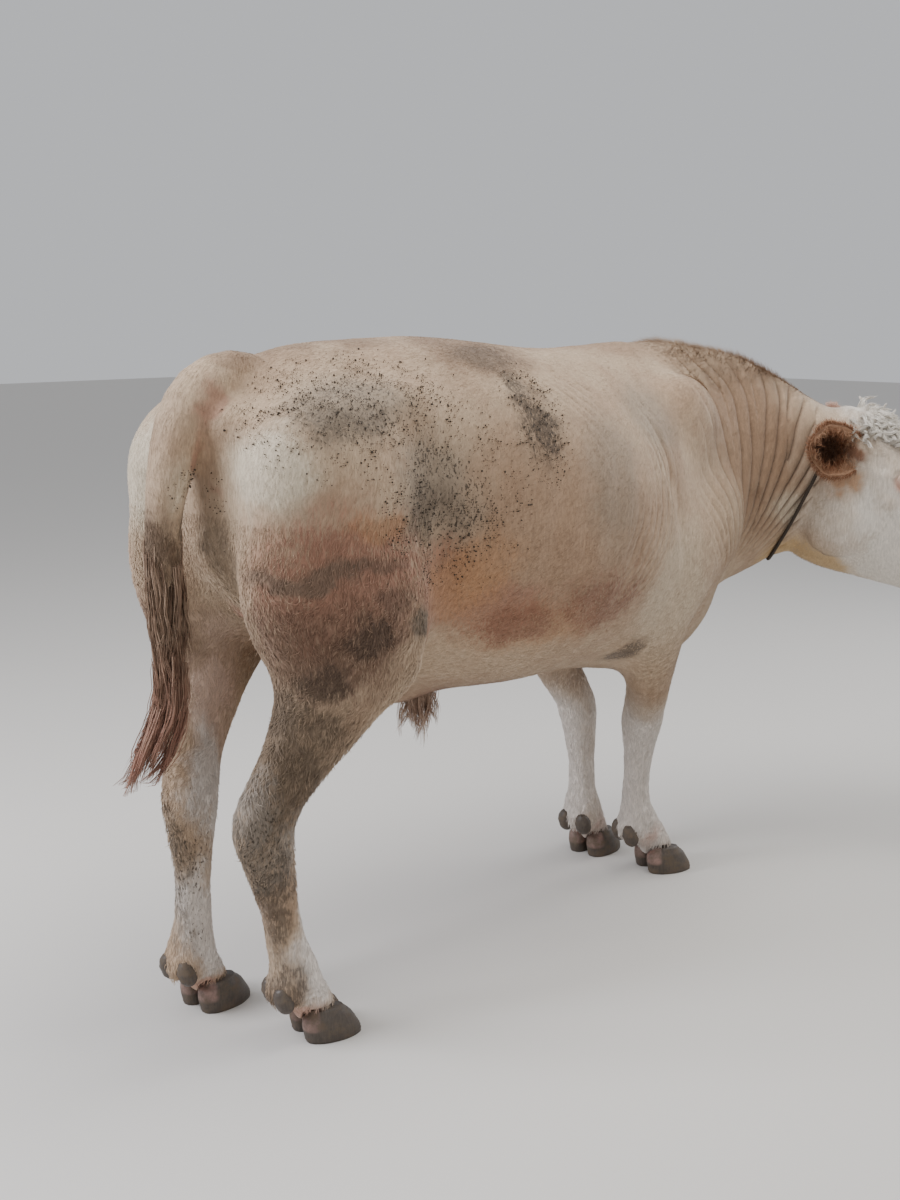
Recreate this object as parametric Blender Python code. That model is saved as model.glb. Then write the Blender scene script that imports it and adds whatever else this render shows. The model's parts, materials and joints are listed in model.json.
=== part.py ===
# A still, life-size model of an Auliekol bull, standing with its head turned to its right and lowered to feed.
# The bull faces +X, its left side is +Y and the floor is z = 0. Everything is in metres.
# The flesh is modelled whole from lofts and swellings, fused, smoothed and then parted into named nodes.

import math
import random

import bmesh
import bpy
import numpy as np
from mathutils import Matrix, Vector
from mathutils.bvhtree import BVHTree

# Driving dimensions
withers_height = 1.385
hip_height = 1.40
chest_floor = 0.535
belly_floor = 0.60
rib_half_width = 0.355
hip_half_width = 0.275
knee_height = 0.41
hock_height = 0.505
fetlock_height = 0.15
coronet_height = 0.068
ear_length = 0.205
ear_width = 0.138
eyeball_radius = 0.021
tail_tip_height = 0.57
rope_radius = 0.0055
gap = 0.0003

# How fine the work is
voxel = 0.0085
flesh_triangles = 6500
ring_points = 28
rope_sides = 5

# Side signs: the right side is -Y
sides = {"right": -1, "left": 1}


def clear_scene():
    for item in list(bpy.data.objects):
        bpy.data.objects.remove(item, do_unlink=True)


def finish_material(name, colour, roughness, metallic=0.0):
    made = bpy.data.materials.new(name)
    made.use_nodes = True
    shader = made.node_tree.nodes["Principled BSDF"]
    shader.inputs["Base Color"].default_value = (*colour, 1.0)
    shader.inputs["Roughness"].default_value = roughness
    shader.inputs["Metallic"].default_value = metallic
    return made


def new_object(name, bm, material=None):
    mesh = bpy.data.meshes.new(name)
    bm.to_mesh(mesh)
    bm.free()
    made = bpy.data.objects.new(name, mesh)
    bpy.context.scene.collection.objects.link(made)
    if material is not None:
        mesh.materials.append(material)
    return made


def applied(item):
    """Applies every modifier of an object and returns it."""
    graph = bpy.context.evaluated_depsgraph_get()
    mesh = bpy.data.meshes.new_from_object(item.evaluated_get(graph))
    item.modifiers.clear()
    item.data = mesh
    return item


def remove(*items):
    for item in items:
        bpy.data.objects.remove(item, do_unlink=True)


def superellipse(angle, power):
    c, s = math.cos(angle), math.sin(angle)
    across = math.copysign(abs(c) ** (2 / power), c)
    upward = math.copysign(abs(s) ** (2 / power), s)
    return across, upward


def section(centre, across, upward, half_width, rise, drop, top_power=2.0, low_power=2.0):
    """One closed ring: rise above the centre and drop below it, each half with its own roundness."""
    ring = []
    for step in range(ring_points):
        angle = 2 * math.pi * step / ring_points
        power = top_power if math.sin(angle) >= 0 else low_power
        a, u = superellipse(angle, power)
        reach = rise if u >= 0 else drop
        ring.append(centre + across * (a * half_width) + upward * (u * reach))
    return ring


def loft(bm, rings):
    """A closed skin over rings of equal count, with a fan at each end."""
    loops = [[bm.verts.new(point) for point in ring] for ring in rings]
    for first, second in zip(loops, loops[1:]):
        for index in range(len(first)):
            after = (index + 1) % len(first)
            bm.faces.new((first[index], first[after], second[after], second[index]))
    for loop, order in ((loops[0], -1), (loops[-1], 1)):
        hub = bm.verts.new(sum((v.co for v in loop), Vector()) / len(loop))
        for index in range(len(loop)):
            after = (index + 1) % len(loop)
            bm.faces.new((loop[index], loop[after], hub)[::order])


def smooth_between(values, steps):
    """Catmull-Rom interpolation of rows of numbers, with steps sub-intervals between neighbours."""
    rows = [np.array(row, float) for row in values]
    out = []
    for index in range(len(rows) - 1):
        before = rows[max(index - 1, 0)]
        first, second = rows[index], rows[index + 1]
        after = rows[min(index + 2, len(rows) - 1)]
        for step in range(steps):
            t = step / steps
            out.append(
                0.5
                * (
                    2 * first
                    + (second - before) * t
                    + (2 * before - 5 * first + 4 * second - after) * t * t
                    + (3 * first - before - 3 * second + after) * t * t * t
                )
            )
    out.append(rows[-1])
    return out


def upright_loft(bm, stations, steps=3):
    """Lofts stations of the trunk or the neck, each ring standing upright."""
    rings = []
    for x, y, heading, top, low, width, widest, top_power, low_power in smooth_between(stations, steps):
        turn = math.radians(heading)
        across = Vector((-math.sin(turn), math.cos(turn), 0))
        centre = Vector((x, y, widest))
        rise, drop = top - widest, widest - low
        rings.append(section(centre, across, Vector((0, 0, 1)), width, rise, drop, top_power, low_power))
    loft(bm, rings)


def limb(bm, stations, steps=3):
    """A tapering limb. Stations are (x, y, z, half depth, half width), in order down the limb."""
    rows = smooth_between(stations, steps)
    rings = []
    for index, row in enumerate(rows):
        x, y, z, depth, width = row
        lower = rows[min(index + 1, len(rows) - 1)]
        upper = rows[max(index - 1, 0)]
        down = Vector(lower[:3] - upper[:3]).normalized()
        across = Vector((0, 1, 0))
        forward = across.cross(down).normalized()
        across = down.cross(forward).normalized()
        rings.append(section(Vector((x, y, z)), across, forward, width, depth, depth))
    loft(bm, rings)


def swelling(bm, centre, radii, turn=(0, 0, 0)):
    """An ellipsoid of muscle. turn is in degrees about X, Y and Z."""
    rotation = (
        Matrix.Rotation(math.radians(turn[2]), 4, "Z")
        @ Matrix.Rotation(math.radians(turn[1]), 4, "Y")
        @ Matrix.Rotation(math.radians(turn[0]), 4, "X")
    )
    place = Matrix.Translation(centre) @ rotation @ Matrix.Diagonal((*radii, 1))
    bmesh.ops.create_uvsphere(bm, u_segments=24, v_segments=14, radius=1, matrix=place)


# Trunk, in stations from the buttocks to the breast:
# x, y, heading, top, low, half width, height of the widest point, top power, low power
trunk_stations = (
    (-0.79, 0, 0, 1.26, 0.98, 0.09, 1.12, 2.0, 2.0),
    (-0.70, 0, 0, 1.345, 0.88, 0.175, 1.13, 1.9, 2.0),
    (-0.57, 0, 0, 1.390, 0.775, 0.240, 1.12, 2.0, 2.0),
    (-0.42, 0, 0, hip_height, 0.690, hip_half_width, 1.07, 2.3, 1.9),
    (-0.20, 0, 0, 1.402, 0.622, 0.325, 1.00, 2.5, 1.9),
    (0.00, 0, 0, 1.384, belly_floor, rib_half_width, 0.95, 2.4, 1.9),
    (0.18, 0, 0, 1.370, 0.597, 0.345, 0.93, 2.2, 1.9),
    (0.36, 0, 0, 1.378, 0.565, 0.305, 0.92, 1.9, 2.0),
    (0.52, 0, 0, withers_height, chest_floor + 0.01, 0.26, 0.90, 1.7, 2.1),
    (0.66, 0, 0, 1.34, chest_floor + 0.02, 0.215, 0.88, 1.8, 2.0),
    (0.78, 0, -8, 1.22, 0.63, 0.15, 0.88, 2.0, 2.0),
)

# Neck, bending to the right towards the head
neck_stations = (
    (0.44, 0.00, 0, 1.375, 0.66, 0.235, 0.98, 1.7, 2.0),
    (0.60, -0.005, -5, 1.388, 0.66, 0.225, 1.00, 1.7, 1.9),
    (0.74, -0.030, -14, 1.372, 0.69, 0.200, 1.02, 1.7, 1.8),
    (0.86, -0.075, -26, 1.330, 0.73, 0.178, 1.03, 1.8, 1.8),
    (0.96, -0.140, -38, 1.275, 0.785, 0.160, 1.03, 1.9, 1.8),
    (1.03, -0.210, -48, 1.215, 0.83, 0.142, 1.02, 2.0, 1.8),
    (1.08, -0.280, -56, 1.17, 0.87, 0.110, 1.02, 2.0, 2.0),
)

# The head's own frame: origin at the poll, +X down the forehead to the nose, +Z out of the forehead
poll_place = Vector((1.100, -0.335, 1.182))
head_heading = -60
head_pitch = 45
head_roll = -6
head_frame = (
    Matrix.Translation(poll_place)
    @ Matrix.Rotation(math.radians(head_heading), 4, "Z")
    @ Matrix.Rotation(math.radians(head_pitch), 4, "Y")
    @ Matrix.Rotation(math.radians(head_roll), 4, "X")
)

# Head stations: along, top, low, half width, height of the widest point, top power, low power
head_stations = (
    (-0.055, -0.060, -0.240, 0.075, -0.13, 2.0, 2.0),
    (0.000, -0.002, -0.300, 0.106, -0.10, 2.3, 1.9),
    (0.070, 0.012, -0.358, 0.124, -0.08, 2.7, 1.7),
    (0.140, 0.012, -0.388, 0.128, -0.07, 2.8, 1.6),
    (0.210, 0.004, -0.366, 0.116, -0.08, 2.6, 1.6),
    (0.290, -0.004, -0.316, 0.097, -0.09, 2.4, 1.7),
    (0.370, -0.008, -0.266, 0.084, -0.10, 2.2, 1.9),
    (0.445, -0.012, -0.222, 0.081, -0.105, 2.2, 2.1),
    (0.510, -0.026, -0.196, 0.087, -0.108, 2.3, 2.2),
    (0.550, -0.058, -0.172, 0.071, -0.112, 2.2, 2.2),
)


def head_point(along, left, out):
    return head_frame @ Vector((along, left, out))


# The ears are laid back, the left one lifted more
ear_lift = {-1: 0.23, 1: 0.42}


def ear_root(side):
    return 0.055, side * 0.108, -0.085


def head_swelling(bm, centre, radii, turn=(0, 0, 0)):
    local = bmesh.new()
    swelling(local, centre, radii, turn)
    local.transform(head_frame)
    copy_into(bm, local)


def copy_into(bm, local):
    scratch = bpy.data.meshes.new("scratch")
    local.to_mesh(scratch)
    local.free()
    bm.from_mesh(scratch)
    bpy.data.meshes.remove(scratch)


def head_mass(bm):
    rings = []
    local = bmesh.new()
    for along, top, low, width, widest, top_power, low_power in smooth_between(head_stations, 3):
        centre = Vector((along, 0, widest))
        rise, drop = top - widest, widest - low
        across, upward = Vector((0, 1, 0)), Vector((0, 0, 1))
        rings.append(section(centre, across, upward, width, rise, drop, top_power, low_power))
    loft(local, rings)
    local.transform(head_frame)
    copy_into(bm, local)
    for side in sides.values():
        head_swelling(bm, (0.150, side * 0.078, -0.215), (0.105, 0.040, 0.125), (0, -18, 0))  # cheek
        head_swelling(bm, (0.185, side * 0.098, -0.040), (0.052, 0.034, 0.040))  # brow and eye socket
        head_swelling(bm, (0.515, side * 0.056, -0.080), (0.042, 0.036, 0.040))  # wing of the nostril
        head_swelling(bm, (0.505, side * 0.040, -0.132), (0.056, 0.050, 0.024))  # upper lip
        head_swelling(bm, (0.440, side * 0.062, -0.160), (0.060, 0.026, 0.030))  # corner of the mouth
        head_swelling(bm, ear_root(side), (0.036, 0.032, 0.034))  # root of the ear
    head_swelling(bm, (0.010, 0, -0.030), (0.060, 0.085, 0.045))  # poll
    head_swelling(bm, (0.492, 0, -0.180), (0.058, 0.062, 0.030))  # chin and lower lip
    head_swelling(bm, (0.520, 0, -0.075), (0.044, 0.060, 0.042))  # nose pad


# Fore legs: per side, rows of x, y, z, half depth and half width down the leg
fore_legs = {
    "right": (
        (0.40, -0.205, 0.80, 0.125, 0.085),
        (0.40, -0.190, 0.68, 0.100, 0.075),
        (0.455, -0.140, 0.55, 0.072, 0.060),
        (0.510, -0.085, 0.45, 0.056, 0.054),
        (0.525, -0.068, knee_height, 0.055, 0.056),
        (0.528, -0.060, 0.355, 0.046, 0.049),
        (0.526, -0.055, 0.27, 0.036, 0.040),
        (0.524, -0.055, 0.20, 0.038, 0.041),
        (0.528, -0.062, fetlock_height, 0.047, 0.050),
        (0.552, -0.075, 0.105, 0.043, 0.050),
        (0.578, -0.088, 0.050, 0.045, 0.054),
    ),
    "left": (
        (0.40, 0.205, 0.80, 0.125, 0.085),
        (0.40, 0.195, 0.68, 0.100, 0.075),
        (0.445, 0.165, 0.55, 0.072, 0.060),
        (0.492, 0.138, 0.45, 0.056, 0.054),
        (0.502, 0.130, knee_height, 0.055, 0.056),
        (0.503, 0.122, 0.355, 0.046, 0.049),
        (0.500, 0.112, 0.27, 0.036, 0.040),
        (0.496, 0.104, 0.20, 0.038, 0.041),
        (0.498, 0.100, fetlock_height, 0.047, 0.050),
        (0.522, 0.103, 0.105, 0.043, 0.050),
        (0.548, 0.106, 0.050, 0.045, 0.054),
    ),
}

# Hind legs, the right one set forward under the body
hind_legs = {
    "right": (
        (-0.575, -0.190, 1.00, 0.190, 0.120),
        (-0.580, -0.205, 0.86, 0.180, 0.115),
        (-0.625, -0.200, 0.75, 0.138, 0.092),
        (-0.685, -0.185, 0.65, 0.096, 0.066),
        (-0.742, -0.170, 0.565, 0.074, 0.053),
        (-0.768, -0.158, hock_height, 0.074, 0.052),
        (-0.752, -0.148, 0.430, 0.060, 0.046),
        (-0.722, -0.135, 0.33, 0.044, 0.039),
        (-0.692, -0.122, 0.22, 0.044, 0.040),
        (-0.668, -0.116, fetlock_height, 0.052, 0.050),
        (-0.645, -0.118, 0.100, 0.046, 0.050),
        (-0.620, -0.122, 0.050, 0.048, 0.054),
    ),
    "left": (
        (-0.585, 0.190, 1.00, 0.190, 0.120),
        (-0.600, 0.205, 0.86, 0.180, 0.115),
        (-0.635, 0.190, 0.75, 0.130, 0.090),
        (-0.680, 0.160, 0.65, 0.094, 0.066),
        (-0.722, 0.135, 0.565, 0.072, 0.053),
        (-0.745, 0.115, hock_height - 0.01, 0.070, 0.050),
        (-0.747, 0.113, 0.420, 0.057, 0.045),
        (-0.744, 0.118, 0.32, 0.043, 0.039),
        (-0.742, 0.126, 0.22, 0.044, 0.040),
        (-0.744, 0.131, fetlock_height, 0.052, 0.050),
        (-0.726, 0.134, 0.100, 0.046, 0.050),
        (-0.703, 0.136, 0.050, 0.048, 0.054),
    ),
}


def leg_masses(bm):
    for name, side in sides.items():
        limb(bm, fore_legs[name])
        limb(bm, hind_legs[name])
        swelling(bm, (0.48, side * 0.140, 1.10), (0.16, 0.105, 0.22), (side * -10, 18, 0))  # shoulder blade
        swelling(bm, (0.60, side * 0.195, 0.93), (0.13, 0.090, 0.16), (0, 20, side * -12))  # shoulder point
        swelling(bm, (0.42, side * 0.225, 0.87), (0.16, 0.085, 0.17), (0, -25, 0))  # triceps
        swelling(bm, (0.30, side * 0.205, 0.71), (0.065, 0.050, 0.075))  # elbow
        swelling(bm, (-0.46, side * 0.200, 1.25), (0.115, 0.072, 0.080), (0, 0, side * 10))  # hook of the hip
        swelling(bm, (-0.59, side * 0.175, 1.12), (0.225, 0.135, 0.20), (0, 15, side * -6))  # rump
        swelling(bm, (-0.65, side * 0.180, 0.98), (0.165, 0.125, 0.25))  # buttock and outer thigh
        swelling(bm, (-0.53, side * 0.220, 0.88), (0.130, 0.095, 0.19), (0, -8, 0))  # stifle
        swelling(bm, (-0.75, side * 0.075, 1.24), (0.060, 0.055, 0.055))  # pin bone


def shape_flesh():
    bm = bmesh.new()
    upright_loft(bm, trunk_stations)
    upright_loft(bm, neck_stations)
    leg_masses(bm)
    head_mass(bm)
    swelling(bm, (0.63, 0, 0.69), (0.15, 0.11, 0.15), (0, 20, 0))  # brisket
    swelling(bm, (-0.30, 0, 0.640), (0.17, 0.045, 0.045), (0, 4, 0))  # sheath
    bmesh.ops.recalc_face_normals(bm, faces=bm.faces)
    flesh = new_object("flesh", bm)
    fuse = flesh.modifiers.new("fuse", "REMESH")
    fuse.mode = "VOXEL"
    fuse.voxel_size = voxel
    applied(flesh)
    soften(flesh)
    thin = flesh.modifiers.new("thin", "DECIMATE")
    thin.ratio = flesh_triangles / (2 * len(flesh.data.polygons))
    thin.use_collapse_triangulate = True
    applied(flesh)
    return flesh


def soften(flesh):
    """Blends the swellings into the body: most on the trunk, least on the head and the lower legs."""
    group = flesh.vertex_groups.new(name="soft")
    to_head = head_frame.inverted()
    for vert in flesh.data.vertices:
        local = to_head @ vert.co
        on_head = local.x > -0.03 and local.z < 0.1 and vert.co.x > 0.9
        low = max(0.0, min(1.0, (vert.co.z - 0.45) / 0.2))
        group.add([vert.index], 0.12 if on_head else 0.10 + 0.90 * low, "REPLACE")
    smooth = flesh.modifiers.new("smooth", "SMOOTH")
    smooth.factor = 0.7
    smooth.iterations = 90
    smooth.vertex_group = "soft"
    applied(flesh)
    flesh.vertex_groups.clear()


def boolean(item, other, operation, solver="EXACT"):
    """Unites with, or cuts by, an object or a collection, and removes what was used."""
    step = item.modifiers.new("step", "BOOLEAN")
    step.operation = operation
    step.solver = solver
    if isinstance(other, bpy.types.Collection):
        step.operand_type = "COLLECTION"
        step.collection = other
        used = list(other.objects)
    else:
        step.object = other
        used = [other]
    applied(item)
    remove(*used)
    return item


def islands(bm):
    """The separate closed surfaces of a mesh, as lists of faces."""
    unseen = set(bm.faces)
    found = []
    while unseen:
        stack = [unseen.pop()]
        island = [stack[0]]
        while stack:
            face = stack.pop()
            for edge in face.edges:
                for near in edge.link_faces:
                    if near in unseen:
                        unseen.remove(near)
                        island.append(near)
                        stack.append(near)
        found.append(island)
    return found


def keep_largest(item):
    bm = bmesh.new()
    bm.from_mesh(item.data)
    parts = sorted(islands(bm), key=len, reverse=True)
    dropped = [face for part in parts[1:] for face in part]
    bmesh.ops.delete(bm, geom=dropped, context="FACES")
    bm.to_mesh(item.data)
    bm.free()


def inflated_copy(item, amount, name="inflated"):
    bm = bmesh.new()
    bm.from_mesh(item.data)
    bmesh.ops.triangulate(bm, faces=bm.faces)
    bm.normal_update()
    shift = {vert: vert.normal * amount for vert in bm.verts}
    for vert, move in shift.items():
        vert.co += move
    return new_object(name, bm)


def clear_of(item, other, amount=gap):
    """Cuts an item back so that it meets another face to face with the gap between."""
    boolean(item, inflated_copy(other, amount), "DIFFERENCE")
    keep_largest(item)


def part_at(flesh, centre, normal, across, width, height):
    """Cuts the flesh through with a thin box: normal is the direction that it is thin in."""
    thin = Vector(normal).normalized()
    side = Vector(across)
    side = (side - thin * side.dot(thin)).normalized()
    up = thin.cross(side)
    turn = Matrix((side, up, thin)).transposed().to_4x4()
    bm = bmesh.new()
    place = Matrix.Translation(centre) @ turn @ Matrix.Diagonal((width, height, gap, 1))
    bmesh.ops.create_cube(bm, size=1, matrix=place)
    boolean(flesh, new_object("slab", bm), "DIFFERENCE")


# Where each piece of flesh has its middle, to name the parts after the cuts
flesh_places = {
    "head": head_point(0.20, 0, -0.15),
    "neck": Vector((0.86, -0.07, 1.03)),
    "shoulders": Vector((0.46, 0, 0.96)),
    "barrel": Vector((0.0, 0, 0.98)),
    "hindquarters": Vector((-0.58, 0, 1.05)),
    "forearm_right": Vector((0.52, -0.08, 0.46)),
    "forearm_left": Vector((0.50, 0.14, 0.46)),
    "cannon_fore_right": Vector((0.53, -0.06, 0.22)),
    "cannon_fore_left": Vector((0.50, 0.11, 0.22)),
    "gaskin_right": Vector((-0.72, -0.17, 0.57)),
    "gaskin_left": Vector((-0.70, 0.14, 0.57)),
    "cannon_hind_right": Vector((-0.69, -0.125, 0.24)),
    "cannon_hind_left": Vector((-0.74, 0.125, 0.24)),
}

neck_cut = head_frame.to_3x3() @ Vector((0.933, 0, 0.359))


def tidy_cuts(mesh, reach=0.014):
    """Joins near corners along each flat cut, all in its own plane, so that the cuts cost few faces."""
    bm = bmesh.new()
    bm.from_mesh(mesh)
    caps = [face for face in bm.faces if len(face.verts) > 8]
    for corners in [list(face.verts) for face in caps]:
        bmesh.ops.remove_doubles(bm, verts=[v for v in corners if v.is_valid], dist=reach)
    bmesh.ops.dissolve_degenerate(bm, edges=bm.edges, dist=0.00005)
    bm.to_mesh(mesh)
    bm.free()


# The flat cuts: middle, normal, direction of the width, width and height of the slab
cuts = (
    (head_point(0.035, 0, -0.195), neck_cut, (0, 0, 1), 0.90, 0.80),
    ((0.665, -0.01, 0.98), (0.952, -0.20, 0.229), (0, 1, 0), 1.0, 1.2),
    ((0.265, 0, 0.98), (1, 0, 0), (0, 1, 0), 1.0, 1.2),
    ((-0.335, 0, 0.98), (1, 0, -0.10), (0, 1, 0), 1.0, 1.2),
    ((0.48, 0, chest_floor - 0.015), (0, 0, 1), (1, 0, 0), 0.5, 0.8),
    ((0.48, 0, knee_height - 0.065), (0, 0, 1), (1, 0, 0), 0.5, 0.8),
    ((-0.73, 0, hock_height + 0.185), (0, 0, 1), (1, 0, 0), 0.54, 0.8),
    ((-0.73, 0, hock_height - 0.080), (0, 0, 1), (1, 0, 0), 0.54, 0.8),
)


def part_flesh(flesh):
    for cut in cuts:
        part_at(flesh, *cut)
    bm = bmesh.new()
    bm.from_mesh(flesh.data)
    made = {}
    for island in islands(bm):
        corners = {vert for face in island for vert in face.verts}
        middle = sum((vert.co for vert in corners), Vector()) / len(corners)
        name = min(flesh_places, key=lambda key: (flesh_places[key] - middle).length)
        index = {vert: number for number, vert in enumerate(corners)}
        mesh = bpy.data.meshes.new(name)
        mesh.from_pydata([v.co for v in corners], [], [[index[v] for v in face.verts] for face in island])
        if name in made:
            if len(made[name].data.polygons) > len(mesh.polygons):
                continue
            remove(made[name])
        tidy_cuts(mesh)
        made[name] = bpy.data.objects.new(name, mesh)
        bpy.context.scene.collection.objects.link(made[name])
    bm.free()
    remove(flesh)
    return made


def turned(profile, place, count=12):
    """A round solid from rows of (height, half length, half width, forward shift), closed at both ends."""
    bm = bmesh.new()
    turns = [2 * math.pi * i / count for i in range(count)]
    rings = [
        [Vector((shift + math.cos(turn) * a, math.sin(turn) * b, height)) for turn in turns]
        for height, a, b, shift in profile
    ]
    loft(bm, rings)
    bm.transform(place)
    bmesh.ops.recalc_face_normals(bm, faces=bm.faces)
    return bm


# Each foot: x and y of the middle of its sole, and the way that its toes point, in degrees
feet = {
    "fore_right": (0.592, -0.098, -20),
    "fore_left": (0.562, 0.108, 6),
    "hind_right": (-0.600, -0.126, -12),
    "hind_left": (-0.684, 0.139, 6),
}
claw_half_length = 0.062
claw_half_width = 0.031
claw_spread = 0.0335


def claw(name, foot, side, material):
    """One half of a cloven hoof: flat sole on the floor, sloping toe, domed at the heel."""
    x, y, turn = foot
    profile = (
        (0.0, claw_half_length, claw_half_width * 0.95, 0.000),
        (0.020, claw_half_length * 0.97, claw_half_width, -0.004),
        (0.052, claw_half_length * 0.83, claw_half_width * 0.94, -0.015),
        (coronet_height, claw_half_length * 0.70, claw_half_width * 0.84, -0.021),
    )
    place = (
        Matrix.Translation((x, y, 0))
        @ Matrix.Rotation(math.radians(turn), 4, "Z")
        @ Matrix.Translation((0.0, side * claw_spread, 0))
        @ Matrix.Rotation(math.radians(side * 5), 4, "Z")
    )
    return new_object(name, turned(profile, place, 12), material)


def dewclaw(name, foot, side, fetlock, material):
    """The blunt horn behind the fetlock."""
    x, y, turn = foot
    profile = (
        (-0.027, 0.010, 0.012, 0.000),
        (-0.014, 0.019, 0.021, 0.000),
        (0.007, 0.021, 0.022, 0.001),
        (0.028, 0.010, 0.010, 0.005),
    )
    heading = math.radians(turn)
    back = Vector((math.cos(heading), math.sin(heading), 0)) * -0.040
    outward = Vector((-math.sin(heading), math.cos(heading), 0)) * (side * 0.027)
    place = (
        Matrix.Translation(Vector(fetlock) + back + outward + Vector((0, 0, -0.044)))
        @ Matrix.Rotation(heading, 4, "Z")
        @ Matrix.Rotation(math.radians(-22), 4, "Y")
    )
    return new_object(name, turned(profile, place, 8), material)


def shade(item, angle=40):
    item.data.shade_smooth()
    item.data.set_sharp_from_angle(angle=math.radians(angle))


def cupped_ear(name, side, material):
    """A leaf-shaped shell on a thick root, laid back with its cup open to the front and side."""
    along_count, across_count = 8, 6
    thickness = 0.009
    heading = math.radians(head_heading)
    forward = Vector((math.cos(heading), math.sin(heading), 0))
    outward = Vector((-math.sin(heading), math.cos(heading), 0)) * side
    up = Vector((0, 0, 1))
    axis = (outward * 0.79 - forward * 0.48 + up * ear_lift[side]).normalized()
    opening = forward * 0.61 + outward * 0.39 + up * 0.04
    opening = (opening - axis * opening.dot(axis)).normalized()
    across = axis.cross(opening).normalized()
    root = head_point(*ear_root(side)) - axis * 0.01

    def sheet(offset):
        rows = []
        for i in range(along_count):
            t = math.sin(math.pi / 2 * i / (along_count - 1))
            leaf = math.sin(math.pi * (0.09 + 0.66 * t)) ** 0.75 * math.sqrt(max(0.03, 1 - t**4))
            half = ear_width / 2 * leaf
            depth = 0.046 * math.sin(math.pi * (0.22 + 0.76 * t))
            row = []
            for j in range(across_count + 1):
                v = 2 * j / across_count - 1
                point = root + axis * (ear_length * t) + across * (half * v)
                point -= opening * (depth * (1 - v * v) - 0.012 * t * t - offset)
                row.append(point)
            rows.append(row)
        return rows

    bm = bmesh.new()
    inner = [[bm.verts.new(p) for p in row] for row in sheet(thickness)]
    outer = [[bm.verts.new(p) for p in row] for row in sheet(0)]
    for rows, flip in ((inner, 1), (outer, -1)):
        for i in range(along_count - 1):
            for j in range(across_count):
                quad = (rows[i][j], rows[i][j + 1], rows[i + 1][j + 1], rows[i + 1][j])
                bm.faces.new(quad[::flip])
    for i in range(along_count - 1):
        bm.faces.new((inner[i][0], inner[i + 1][0], outer[i + 1][0], outer[i][0]))
        bm.faces.new((inner[i + 1][-1], inner[i][-1], outer[i][-1], outer[i + 1][-1]))
    for j in range(across_count):
        bm.faces.new((inner[0][j + 1], inner[0][j], outer[0][j], outer[0][j + 1]))
        bm.faces.new((inner[-1][j], inner[-1][j + 1], outer[-1][j + 1], outer[-1][j]))
    bmesh.ops.triangulate(bm, faces=bm.faces)
    bmesh.ops.recalc_face_normals(bm, faces=bm.faces)
    return new_object(name, bm, material)


def ball(name, centre, radii, material=None, turn=(0, 0, 0), rows=10, columns=16):
    bm = bmesh.new()
    rotation = Matrix.Rotation(math.radians(turn[2]), 4, "Z") @ Matrix.Rotation(math.radians(turn[1]), 4, "Y")
    place = Matrix.Translation(centre) @ rotation @ Matrix.Diagonal((*radii, 1))
    bmesh.ops.create_uvsphere(bm, u_segments=columns, v_segments=rows, radius=1, matrix=place)
    return new_object(name, bm, material)


def lock(path, widths, thicknesses, flat, sides_count=6):
    """A flat tapered lock of hair along a path. flat is the direction that it is thin in."""
    rings = []
    for index, point in enumerate(path):
        after = path[min(index + 1, len(path) - 1)]
        before = path[max(index - 1, 0)]
        run = (after - before).normalized()
        thin = (flat - run * flat.dot(run)).normalized()
        wide = run.cross(thin)
        ring = []
        for i in range(sides_count):
            angle = 2 * math.pi * i / sides_count
            aside = math.cos(angle) * widths[index] / 2
            above = math.sin(angle) * thicknesses[index] / 2
            ring.append(point + wide * aside + thin * above)
        rings.append(ring)
    bm = bmesh.new()
    loft(bm, rings)
    bmesh.ops.recalc_face_normals(bm, faces=bm.faces)
    return bm


# The tail hangs down the cleft between the buttocks: x, y, z, radius
tail_stations = (
    (-0.60, 0.000, 1.318, 0.042),
    (-0.69, -0.002, 1.330, 0.052),
    (-0.765, -0.005, 1.300, 0.058),
    (-0.815, -0.008, 1.240, 0.054),
    (-0.848, -0.010, 1.155, 0.045),
    (-0.866, -0.010, 1.060, 0.037),
    (-0.868, -0.010, 0.960, 0.032),
)
switch_stations = (
    (-0.868, -0.010, 0.960, 0.031),
    (-0.864, -0.010, 0.880, 0.025),
    (-0.856, -0.010, 0.800, 0.020),
    (-0.862, -0.012, 0.730, 0.015),
    (-0.884, -0.016, 0.675, 0.010),
    (-0.905, -0.020, 0.640, 0.005),
)


def tube(stations, steps=3, count=14):
    rows = smooth_between(stations, steps)
    rings = []
    for index, row in enumerate(rows):
        point = Vector(row[:3])
        run = Vector(rows[min(index + 1, len(rows) - 1)][:3] - rows[max(index - 1, 0)][:3]).normalized()
        side = Vector((0, 1, 0))
        front = side.cross(run).normalized()
        ring = []
        for i in range(count):
            angle = 2 * math.pi * i / count
            ring.append(point + side * (math.cos(angle) * row[3]) + front * (math.sin(angle) * row[3]))
        rings.append(ring)
    bm = bmesh.new()
    loft(bm, rings)
    bmesh.ops.recalc_face_normals(bm, faces=bm.faces)
    return bm


def gather(pieces):
    """Puts loose closed pieces in one collection, ready to be united with what they grow from."""
    group = bpy.data.collections.new("pieces")
    for piece in pieces:
        bpy.context.scene.collection.objects.unlink(piece)
        group.objects.link(piece)
    return group


def unite(item, pieces):
    group = gather(pieces)
    boolean(item, group, "UNION")
    bpy.data.collections.remove(group)
    keep_largest(item)


# Curly hair of the poll and forehead, in rows down from the crown: along, locks in the row, half spread
curl_rows = ((-0.002, 5, 0.074), (0.034, 4, 0.070), (0.070, 4, 0.064), (0.104, 2, 0.034))
curl_length = 0.064
curl_width = 0.042
curl_thickness = 0.020


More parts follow.
